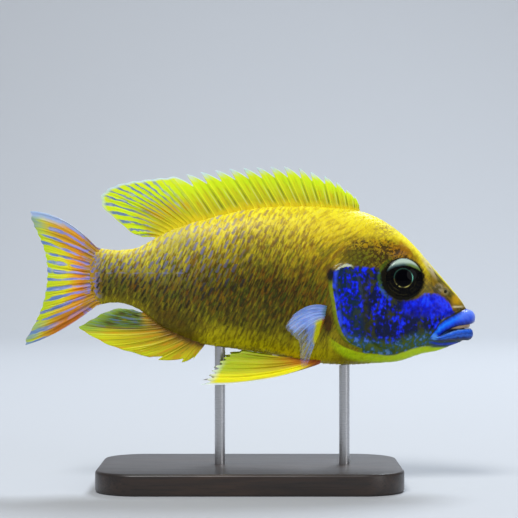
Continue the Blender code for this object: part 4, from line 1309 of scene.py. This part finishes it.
def lip_colour(m, where, fine, colour):
    """Both lips, the corner of the mouth, and the chin under them."""
    place, x, z = where["Place"], where["X"], where["Z"]
    top, upper, lower, bottom = (m.line(x, line) for line in (LIP_TOP, UPPER_EDGE, LOWER_EDGE, LIP_BOTTOM))
    above, below = top - z, z - bottom
    wave = m.noise(m.stretched(m.stretched(place, turn=(0, 0.7, 0)), (1.5, 1, 0.5)), 0.9, 2)
    wander = (wave - 0.5) * 0.3
    chin = x.step(50.2, 52.5) * below.step(0.1, -0.3) * z.step(-21, -20.2)
    chin_blue = m.mix(below.near(-0.75, 0.55), (52, 76, 92), (28, 66, 210))
    colour.lay(chin, m.mix(fine * 0.5, chin_blue, (30, 40, 50)))
    lips = x.step(50.6, 51.6) * above.step(-0.1, 0.25) * below.step(-0.2, 0.2)
    share = above / (top - upper) + wander
    # These ramps paint highlight over the upper lip's upper middle and shade at its top crease and lower
    # edge.
    blue = m.mix(x.step(57.5, 61.5), m.ramp(share, UPPER_LIP_REAR), m.ramp(share, UPPER_LIP_FRONT))
    # Painted highlight: the upper lip pales towards its front tip.
    blue.lay(x.step(62.8, 65) * 0.55, (176, 198, 255))
    # Painted shade along the upper lip's lower edge, where the lips part, darkest towards the front.
    parting_shade = m.mix(x.step(53, 57.5), (40, 96, 170), (26, 30, 52))
    blue.lay((upper - z).step(-0.05, 0.2), parting_shade)
    under = lower - z
    low_share = under / (lower - bottom) + wander
    # The lower lip's band is palest at its top: a painted highlight.
    blue.lay(under.step(-0.15, 0.1), m.ramp(low_share, LOWER_LIP_BAND))
    blue.lay(round_spot(m, x, z, (52.4, -17.5), 0.5, 1.3) * 0.8, (92, 164, 255))
    colour.lay(lips, blue)
    # Painted shade along the crease between the upper lip and the snout.
    crease_shade = above.near(-0.15, 0.5) * x.step(50.6, 52) * x.step(63, 61)
    return m.mix(crease_shade * 0.85, colour, (34, 34, 12))


def markings(m, where):
    """The fish's colours over its skin and scales, and the colour and strength of each scale's mark."""
    x, z, height = where["X"], where["Z"], where["Height"]
    fine = m.noise(where["Place"], 0.9, 4, 0.6)
    colour = trunk_colour(m, where, fine)
    colour = nape_colour(m, where, fine, colour)
    colour, face = face_colour(m, where, fine, colour)
    colour, eye_rim = eye_rim_colour(m, where, fine, colour)
    colour = lip_colour(m, where, fine, colour)
    nostril = (NOSTRIL_X, NOSTRIL_Z)
    colour.lay(round_spot(m, x, z, nostril, 0.6, 1.3) * 0.35, (160, 150, 110))
    # Painted shade in the nostril's pit: a near-black middle.
    colour.lay(round_spot(m, x, z, nostril, 0.25, 0.6) * 0.9, (30, 24, 10))
    # Over the root of the tail fin the body's colours give way to the fin's
    blotched = m.noise(m.stretched(where["Place"], (0.7, 1, 1)), 0.9, 2)
    rooted = m.mix(blotched.step(0.47, 0.58), m.mix(fine, (150, 122, 20), (206, 156, 30)), (124, 122, 190))
    colour.lay(x.step(-41.6, -45.4) * 0.9, rooted)
    violet = m.ramp(height, ((0, 70, 62, 4), (0.28, 32, 32, 10), (0.46, 44, 46, 48), (0.58, 92, 92, 118),
                             (0.82, 124, 122, 156), (1, 178, 172, 168)))
    brown = m.ramp(height, ((0, 96, 88, 4), (0.28, 44, 40, 6), (0.52, 30, 26, 8), (0.78, 112, 90, 44),
                            (1, 186, 156, 90)))
    mark_colour = m.mix(x.step(4, -12), brown, violet)
    marks = height.step(0.02, 0.2) * (1 - x.step(-2, 22) * 0.65) * (1 - face)
    return {"Colour": colour, "Marks": marks, "Mark Colour": mark_colour, "Eye Rim": eye_rim}


def skin_material(markings):
    made, m, shader = new_material("cichlid_skin", Specular_IOR_Level=0.12, Coat_Roughness=0.12)
    marks = m.grouped(markings)
    m.feed(shader["Base Color"], marks["Colour"])
    m.feed(shader["Roughness"], 0.42 + marks["Eye Rim"] * 0.4)
    m.feed(shader["Coat Weight"], (1 - marks["Eye Rim"]) * 0.12)
    m.feed(shader["Normal"], m.bumped(m.noise(m.place(), 900, 4, 0.6), 0.35, 0.0002))
    return made


def scale_material(markings):
    """Each scale: a thin dark stroke that leans forward, a painted highlight along its rear edge, and fine
    rings.
    """
    made, m, shader = new_material("cichlid_scales", Roughness=0.42, Specular_IOR_Level=0.14,
                                   Coat_Weight=0.05, Coat_Roughness=0.2)
    marks = m.grouped(markings)
    back, across, _ = m.split(m.made("UVMap", uv_map="scale"))
    tone, pored = m.attribute("tone"), m.attribute("pored")
    ragged = (m.noise(m.place(), 1500, 1) - 0.5) * 0.16
    down = across - 0.5
    along = back - down * 0.34 - 0.73 + ragged
    thick = (0.25 + tone * 0.75) * marks["Marks"] * 0.075
    streak = (abs(along) - thick).step(0.065, -0.04) * abs(down).step(0.52, 0.26)
    strength = streak * (0.25 + marks["Marks"] * 0.75) * (0.35 + tone * 0.7)
    warm = m.math("FRACT", tone * 7.3)
    colour = m.mix(warm * 0.12, marks["Colour"], (150, 84, 6))
    # Painted highlight: each scale's rear edge is screened lighter.
    colour = m.mix(back.step(0.84, 0.97) * 0.3, colour, marks["Colour"], "SCREEN")
    colour.lay(strength.at_most(0.9), marks["Mark Colour"])
    spot = m.length((back - 0.74) * 0.7, down * 2.2)
    colour.lay(spot.step(0.26, 0.02) * pored * 0.5, (126, 132, 180))
    m.feed(shader["Base Color"], colour)
    rings = m.math("SINE", m.length(back - 0.42, down) * 110)
    m.feed(shader["Normal"], m.bumped(rings, 0.12, 0.00005))
    return made


# The fins' colours from root to tip, and the anal fin's blotches
DORSAL_BANDS = ((0, 228, 206, 8), (0.16, 196, 196, 6), (0.38, 208, 222, 4), (0.62, 214, 244, 2),
                (1, 228, 250, 20))
TAIL_BANDS = ((0, 160, 136, 30), (0.1, 202, 146, 20), (0.28, 218, 122, 8), (0.46, 230, 168, 6),
              (0.62, 226, 220, 4), (1, 186, 216, 20))
ANAL_BANDS = ((0, 146, 112, 4), (0.2, 176, 152, 4), (0.5, 202, 192, 4), (0.85, 220, 222, 4),
              (1, 222, 234, 16))
PELVIC_BANDS = ((0, 168, 78, 4), (0.16, 190, 124, 4), (0.34, 192, 166, 4), (0.6, 196, 196, 4),
                (1, 170, 196, 16))
ANAL_BLOTCHES = ((0.34, 50, 36, 10), (0.42, 34, 74, 32), (0.52, 74, 116, 18), (0.6, 44, 88, 132))


def fin_rays(m):
    """Where a point lies on a fin: its ray, its share of the way out, and masks of ray and gap."""
    across, share, _ = m.split(m.made("UVMap", uv_map="fin"))
    ray = across * FIN_UV_RAYS
    past = m.math("FRACT", ray)
    near = past.at_most(1 - past)
    long_place = m.joined(ray * 1.3, share * 2.2)
    dash_place = m.joined(m.math("FLOOR", ray) * 3.7, share * 6, past * 0.9)
    sway = (m.noise(long_place, 3, 2) - 0.5) * 0.22
    return {"Ray": ray, "Share": share, "Past": past, "Sway": sway, "Long": long_place,
            "Level": m.attribute("level"), "On Ray": near.step(0.2, 0.06),
            "In Gap": (near + sway).step(0.27, 0.36), "Streak": m.noise(long_place, 1, 3, 0.6),
            "Broken": m.noise(dash_place, 1, 2, 0.5)}


def fin_material(name, fin_rays, colour_of):
    """A fin's material: its own colour, over the fine segments of its rays."""
    made, m, shader = new_material(name, Roughness=0.45, Specular_IOR_Level=0.35,
                                   Subsurface_Weight=0.15, Subsurface_Scale=0.001)
    rays = m.grouped(fin_rays)
    m.feed(shader["Base Color"], colour_of(m, shader, rays, rays["Share"], rays["Ray"], rays["Streak"]))
    segments = m.math("SINE", rays["Share"] * 150)
    m.feed(shader["Normal"], m.bumped(segments * rays["On Ray"] * 0.3 + rays["Streak"] * 0.5, 0.35, 0.0001))
    return made


def dorsal_colour(m, shader, rays, share, ray, streak):
    """Yellow-green, with painted shade in dark slits behind the spines, blue bands on the soft part and a
    pale rim.
    """
    past, level, broken = rays["Past"], rays["Level"], rays["Broken"]
    spiny = ray.step(17, 14)
    colour = m.ramp(share + (streak - 0.5) * 0.3, DORSAL_BANDS)
    lines = past.near(0.62, 0.14) * share.step(0.85, 0.4) * streak.step(0.4, 0.6)
    colour.lay(lines * spiny * 0.55, (168, 140, 4))
    # Painted shade: a dark slit of web just behind each spine.
    slit_shade = past.near(0.17, 0.13) * share.step(0.02, 0.16) * share.step(0.95, 0.3)
    colour.lay(slit_shade * spiny * streak.step(0.3, 0.55) * 0.75, (92, 100, 14))
    glint = past.near(0.36, 0.07) * share.step(0.05, 0.12) * share.step(0.6, 0.35)
    colour.lay(glint * spiny * 0.5, (214, 226, 150))
    spine = past.step(0.92, 0.985) * ray.step(16.5, 15)
    colour.lay(spine * 0.85, (248, 244, 30))
    amber = past.near(0.8, 0.1) * share.near(0.35, 0.4) * streak.step(0.45, 0.6)
    colour.lay(amber * spiny * 0.7, (224, 160, 4))
    soft = ray.step(13.4, 16)
    warm = soft * share.near(0.3, 0.28) * streak.step(0.42, 0.58)
    colour.lay(warm * 0.6, (222, 156, 4))
    bands = m.math("SINE", (ray + rays["Sway"] * 2.4) * (2 * pi * 1.4))
    blue = ((bands + (broken - 0.5) * 1.2).step(0.25, 0.85) * soft * ray.step(14.5, 17.5)
            * share.step(0.12, 0.42) * share.step(1, 0.9))
    tinted = m.mix(share.step(0.35, 0.85), (124, 136, 130), (82, 118, 186))
    colour.lay(blue * 0.9, m.mix(broken.step(0.5, 0.75), tinted, (160, 176, 210)))
    rim = level.step(0.93, 0.985) * ray.step(24, 20)
    tip = level.step(0.76, 0.95) * past.step(0.45, 0.95) * ray.step(16, 13)
    colour.lay(rim.at_least(tip) * 0.85, (196, 224, 246))
    return colour


def tail_colour(m, shader, rays, share, ray, streak):
    """Yellow rays, orange towards the root, with long broken violet-blue streaks along them."""
    off_middle = abs(ray - 8.5)
    colour = m.ramp(share + (streak - 0.5) * 0.3, TAIL_BANDS)
    outer = off_middle.step(3.6, 6) * share.step(0.95, 0.6)
    colour.lay(outer * 0.8, m.mix(streak, (180, 112, 10), (236, 178, 30)))
    rust = ray.step(13.8, 16) * share.step(0.85, 0.5)
    colour.lay(rust * 0.8, m.mix(streak, (160, 76, 4), (206, 126, 10)))
    slow = m.stretched(rays["Long"], (0.42, 0.75, 1))
    wander = (m.noise(slow, 1, 2) - 0.5) * 0.9
    phase = ray * 0.78 + wander
    wave = m.math("SINE", phase * (2 * pi))
    along = m.joined(m.math("FLOOR", phase) * 5.3, share * 4.2, wave * 0.2)
    dashes = m.noise(along, 1, 2) - 0.46
    blue = (wave + dashes * 4.5).step(0.15, 0.95) * wave.step(0, 0.6) * (1 - rust * 0.65)
    violet = m.mix(share.step(0.35, 0.75), (146, 144, 226), (86, 124, 198))
    violet.lay(wave.step(0.7, 1) * streak.step(0.45, 0.6) * 0.6, (190, 190, 236))
    colour.lay(blue * 0.92, violet)
    tips = off_middle.step(5.4, 7.6) * share.step(0.7, 0.95)
    colour.lay(tips * streak.step(0.36, 0.56) * 0.8, (124, 160, 176))
    edge = (ray + (streak - 0.5) * 0.8).step(0.95, 0.35) * share.step(0.35, 0.6)
    edge = edge.at_least(ray.step(0.6, 0.2) * share.step(0.05, 0.15))
    colour.lay(edge * 0.85, (176, 202, 238))
    where = m.grouped(bpy.data.node_groups["fish place"])
    blotched = m.noise(m.stretched(where["Place"], (0.5, 1, 1)), 0.9, 2)
    rooted = m.mix(blotched.step(0.5, 0.6), m.mix(streak, (140, 116, 18), (206, 150, 26)), (132, 130, 200))
    colour.lay(where["X"].step(-49.5, -46) * 0.8, rooted)
    return colour


def anal_colour(m, shader, rays, share, ray, streak):
    """Olive to yellow, with green and blue blotches towards the rear."""
    colour = m.ramp(share + (streak - 0.5) * 0.4, ANAL_BANDS)
    colour.lay(rays["In Gap"] * streak.step(0.42, 0.58) * 0.55, (214, 138, 4))
    colour.lay(rays["Past"].near(0.5, 0.1) * streak.step(0.55, 0.42) * 0.6, (120, 116, 4))
    patch = ray.step(6.6, 8) * share.step(0.08, 0.3) * (1 - share.step(0.72, 0.95) * 0.5)
    green = ray.step(5.6, 7.2) * share.step(0.6, 0.9)
    colour.lay(green * 0.7, (132, 184, 70))
    band = m.ramp(m.noise(m.stretched(rays["Long"], (1.6, 1, 1)), 1.6, 2), ANAL_BLOTCHES)
    colour.lay(patch * streak.step(0.25, 0.45) * 0.9, band)
    root = (share + (streak - 0.5) * 0.2).step(0.17, 0.03) * ray.step(11, 8)
    colour.lay(root * 0.55, (98, 62, 4))
    return colour


def pelvic_colour(m, shader, rays, share, ray, streak):
    """Orange at the root and yellow beyond, with a white front edge."""
    colour = m.ramp(share + (streak - 0.5) * 0.3, PELVIC_BANDS)
    colour.lay(ray.step(3.4, 1.4) * share.step(0.06, 0.22) * 0.95, (255, 246, 6))
    colour.lay(ray.step(4.5, 7.5) * share.step(0.25, 0.7) * 0.6, (136, 158, 10))
    lines = rays["Past"].near(0.5, 0.16) * streak.step(0.4, 0.6)
    colour.lay(lines * 0.5, (146, 112, 4))
    colour.lay(ray.step(0.5, 0.15) * share.step(0.3, 0.6), (232, 238, 236))
    colour.lay(share.step(0.9, 0.99) * ray.step(6, 3) * 0.8, (222, 232, 226))
    return colour


def pectoral_colour(m, shader, rays, share, ray, streak):
    """A hazy periwinkle fin, clearer to its edge and its lower rays, with a yellow lower root."""
    level = rays["Level"]
    colour = m.mix(streak.step(0.35, 0.65), (124, 158, 240), (172, 198, 255))
    teal = share.step(0.16, 0.02) * ray.step(6, 3)
    colour.lay(teal * 0.8, (84, 124, 124))
    lower = ray.step(4, 6) * (share + ray * -0.02).step(0.3, 0.14)
    colour.lay(lower, m.mix(share.step(0.04, 0.14), (170, 104, 4), (236, 232, 8)))
    m.feed(shader["Roughness"], 0.4 + streak * 0.2)
    clear = 0.1 + (level.step(0.3, 0.95) * 0.45 + streak * 0.2)
    thin = ray.step(3.8, 5.4) * share.step(0.5, 0.72) * 0.5
    thin = thin.at_least(ray.step(7, 8.6) * share.step(0.3, 0.5) * 0.42)
    clear = clear + thin
    clear = clear * share.step(0.06, 0.3) * (1 - rays["On Ray"] * 0.35)
    faded = level.step(0.88, 1) * 0.5
    m.feed(shader["Alpha"], 1 - (clear + faded).at_most(0.92))
    return colour


def eye_material(name, side):
    """A black pupil in a thin broken ring, a near-black iris, and a painted reflection above: a pale
    crescent.
    """
    made, m, shader = new_material(name, Roughness=0.4, Specular_IOR_Level=0, Coat_Weight=0.18,
                                   Coat_Roughness=0.04, Coat_IOR=1.36)
    centre, axis = eye_frame(side)
    away = m.vector("SUBTRACT", m.place(), tuple(in_metres(centre)))
    away = m.made("VectorMath", {0: away, "Scale": 1 / MM}, operation="SCALE")
    dot = m.vector("DOT_PRODUCT", away, tuple(axis), output="Value")
    length = m.vector("LENGTH", away, output="Value")
    radius = m.math("SQRT", length * length - dot * dot)
    ahead, _, height = m.split(away)
    turn = m.math("ARCTAN2", height, ahead)
    fleck = m.noise(m.joined(radius * 0.8, turn * 9), 1, 3)
    patchy = m.noise(away, 0.55, 2)
    iris = m.mix(fleck.step(0.35, 0.7), (3, 4, 9), (18, 16, 10))
    colour = m.mix(radius.step(PUPIL_RADIUS - 0.05, PUPIL_RADIUS + 0.1), (1, 1, 4), iris)
    arcs = turn.near(0.1, 0.55).at_least(turn.near(-1.05, 0.45) * 0.8)
    arcs = arcs.at_least(turn.near(-2.1, 0.5) * 0.8)
    ring = radius.near(RING_RADIUS, 0.24) * (0.1 + arcs) * patchy.step(0.3, 0.45)
    gleam = m.mix(turn.step(-0.6, -0.2), (206, 196, 110), (112, 196, 170))
    colour.lay(ring.at_most(0.95), gleam)
    wide = radius + (patchy - 0.5) * 0.5
    folds = wide.near(3.75, 0.3).at_least(wide.near(4.7, 0.3) * 0.7)
    broken = m.noise(away, 0.35, 1).step(0.42, 0.62)
    colour.lay(folds * height.step(0, -2.4) * broken * 0.22, (96, 90, 46))
    # Painted reflection: a pale mint crescent over the upper eye, greener along its lower edge towards the
    # front.
    bowl = m.length(ahead - 0.4, height + 3.8)
    over = bowl + (patchy - 0.5) * 0.35 - 7.5
    behind = radius + ahead.step(0, -3.4) * 0.6
    crescent = over.step(-0.3, 0.35) * height.step(1.5, 2.5) * behind.step(5.75, 5.35)
    mint = m.mix(over.step(0.1, 1.1), (70, 92, 92), (186, 206, 190))
    mint.lay(over.step(1.2, 0.1) * ahead.step(0.2, 3), (112, 140, 66))
    colour.lay(crescent * 0.95, mint)
    m.feed(shader["Base Color"], colour)
    return made


def mouth_material():
    """The lining of the mouth: cream pink at its edge, with painted shade within."""
    made, m, shader = new_material("mouth_lining", Roughness=0.35)
    place = m.place()
    flesh = m.mix(m.noise(place, 700), (160, 120, 104), (196, 168, 120))
    # Painted shade: the lining turns near-black below the lips' parting, deep in the mouth.
    deep = m.split(place)[2].step(AXIS_HEIGHT - 0.0149, AXIS_HEIGHT - 0.0154)
    m.feed(shader["Base Color"], m.mix(deep, flesh, (20, 8, 6)))
    return made


def base_material():
    """Dark stained wood with a fine long grain under satin lacquer."""
    made, m, shader = new_material("stained_wood", Coat_Weight=0.3, Coat_Roughness=0.25)
    place = m.place()
    grain = m.noise(m.stretched(place, (18, 260, 260)), 1, 6, 0.65, 0.6)
    pores = m.noise(m.stretched(place, (90, 2600, 2600)), 1, 3, 0.5)
    colour = m.ramp(grain, ((0.3, 22, 15, 11), (0.5, 38, 26, 19), (0.7, 56, 39, 28)))
    colour.lay(pores.step(0.55, 0.68) * 0.6, (12, 8, 6))
    m.feed(shader["Base Color"], colour)
    m.feed(shader["Roughness"], 0.34 + pores * 0.2)
    m.feed(shader["Normal"], m.bumped(pores, 0.25, 0.0002))
    return made


def rod_material():
    made, m, shader = new_material("brushed_steel", Metallic=1)
    brushed = m.noise(m.stretched(m.place(), (500, 500, 30000)), 1, 2)
    m.feed(shader["Base Color"], m.mix(brushed, (176, 176, 178), (200, 200, 202)))
    m.feed(shader["Roughness"], 0.2 + brushed * 0.2)
    return made


# The stand


def make_base():
    """The base plate, from a cube: its corners rounded, and its edges softened."""
    low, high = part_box("stand_base")
    bpy.ops.mesh.primitive_cube_add(size=1, location=(low + high) / 2)
    base = bpy.context.object
    base.name = "base_plate"
    base.scale = high - low
    bpy.ops.object.transform_apply(location=True, rotation=False, scale=True)
    bpy.ops.object.mode_set(mode="EDIT")
    bpy.ops.mesh.select_mode(type="EDGE")
    bpy.ops.mesh.select_all(action="DESELECT")
    shape = bmesh.from_edit_mesh(base.data)
    for edge in shape.edges:
        edge.select_set(abs((edge.verts[0].co - edge.verts[1].co).normalized().z) > 0.9)
    bmesh.update_edit_mesh(base.data)
    bpy.ops.mesh.bevel(offset=BASE_CORNER * MM, segments=16, affect="EDGES")
    bpy.ops.object.mode_set(mode="OBJECT")
    soften = base.modifiers.new("edges", "BEVEL")
    soften.width = BASE_EDGE * MM
    soften.segments = 4
    soften.limit_method = "ANGLE"
    apply_modifiers(base)
    return smooth_shaded(base, 30)


def make_rod(name, node):
    """A steel rod from inside the base up to the belly, its top cut to the belly's curve."""
    low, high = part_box(node)
    turns = turns_round(ROD_SIDES)
    x = (low.x + high.x) / 2 / MM + ROD_RADIUS * np.cos(turns)
    y = ROD_RADIUS * np.sin(turns)
    foot = np.full(ROD_SIDES, (low.z - AXIS_HEIGHT) / MM - ROD_SINK)
    rings = [np.column_stack([x, y, z]) for z in (foot, underside_z(x, y) - ROD_TOP_GAP)]
    return smooth_shaded(tube(name, rings), 30)


# Stage, light and camera


def make_stage():
    """One pale sheet: a floor that curves up into a backdrop behind the fish."""
    half, front, turn_at, radius, top = 3.0, -2.5, 0.9, 0.5, 2.6
    bend = [(turn_at + radius * sin(a), radius - radius * cos(a)) for a in np.linspace(0, pi / 2, 24)]
    profile = [(front, 0.0), *bend, (turn_at + radius, top)]
    points = [(x, y, z) for x in (-half, half) for y, z in profile]
    count = len(profile)
    faces = [(i, i + 1, i + 1 + count, i + count) for i in range(count - 1)]
    mesh = bpy.data.meshes.new("floor")
    mesh.from_pydata(points, [], faces)
    floor = bpy.data.objects.new("floor", mesh)
    bpy.context.scene.collection.objects.link(floor)
    mesh.shade_smooth()
    made, _, _ = new_material("pale_floor", Base_Color=(184, 187, 191), Roughness=0.8)
    mesh.materials.append(made)


def add_light(name, place, size, power, colour):
    light = bpy.data.lights.new(name, "AREA")
    light.shape = "DISK"
    light.size = size
    light.energy = power
    light.color = colour
    lamp = bpy.data.objects.new(name, light)
    bpy.context.scene.collection.objects.link(lamp)
    lamp.location = place
    aim = Vector((0, 0, AXIS_HEIGHT)) - Vector(place)
    lamp.rotation_euler = aim.to_track_quat("-Z", "Y").to_euler()


def light_and_camera():
    scene = bpy.context.scene
    scene.view_settings.view_transform = "Standard"
    middle = FRAME_PIXELS / 2
    x = (middle - MIDDLE_PIXEL_X) * PIXEL_MM * MM
    z = AXIS_HEIGHT + (AXIS_PIXEL_Y - middle) * PIXEL_MM * MM
    view = bpy.data.cameras.new("camera")
    view.sensor_width = 36.0
    view.lens = view.sensor_width * CAMERA_DISTANCE / (FRAME_PIXELS * PIXEL_MM * MM)
    view.clip_start = 0.01
    camera = bpy.data.objects.new("camera", view)
    scene.collection.objects.link(camera)
    camera.location = (x, -CAMERA_DISTANCE, z)
    camera.rotation_euler = (pi / 2, 0, 0)
    scene.camera = camera
    for light in LIGHTS:
        add_light(*light)
    world = bpy.data.worlds.new("studio")
    scene.world = world
    world.use_nodes = True
    background = world.node_tree.nodes["Background"].inputs
    background["Color"].default_value = ROOM_COLOUR
    background["Strength"].default_value = ROOM_STRENGTH


def main():
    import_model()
    light_and_camera()
    make_stage()
    place_group = node_group("fish place", fish_place)
    marks = node_group("markings", lambda m: markings(m, m.grouped(place_group)))
    rays = node_group("fin rays", fin_rays)

    def dress(piece, material, slot, *nodes):
        piece.data.materials.clear()
        piece.data.materials.append(material)
        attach(piece, "root")
        if nodes:
            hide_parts(*nodes)

    dress(make_skin(), skin_material(marks), "skin", "head", "torso", "tail_stem", "lower_jaw",
          "upper_lip", "lower_lip", "gill_cover_left", "gill_cover_right")
    dress(make_mouth(), mouth_material(), "lips")
    sheet = ScaleSheet()
    scaly = scale_material(marks)
    for word, side in (("left", 1), ("right", -1)):
        dress(make_scales(f"scales_{word}", side, sheet), scaly, "skin")
        dress(make_eye(f"eyeball_{word}", side), eye_material(f"eye_{word}", side), "eyes", f"eye_{word}")
    dress(make_dorsal_fin(), fin_material("dorsal_web", rays, dorsal_colour), "fins", "dorsal_fin")
    dress(make_tail_fin(), fin_material("tail_web", rays, tail_colour), "fins", "tail_fin")
    dress(make_anal_fin(), fin_material("anal_web", rays, anal_colour), "fins", "anal_fin")
    pelvic = fin_material("pelvic_web", rays, pelvic_colour)
    pectoral = fin_material("pectoral_web", rays, pectoral_colour)
    for word, side in (("left", 1), ("right", -1)):
        dress(make_pelvic_fin(f"pelvic_web_{word}", side), pelvic, "fins", f"pelvic_fin_{word}")
        dress(make_pectoral_fin(f"pectoral_web_{word}", side), pectoral, "clear_fin",
              f"pectoral_fin_{word}")
    dress(make_base(), base_material(), "base", "stand_base")
    steel = rod_material()
    for word in ("front", "rear"):
        dress(make_rod(f"rod_{word}", f"stand_rod_{word}"), steel, "rods", f"stand_rod_{word}")


main()
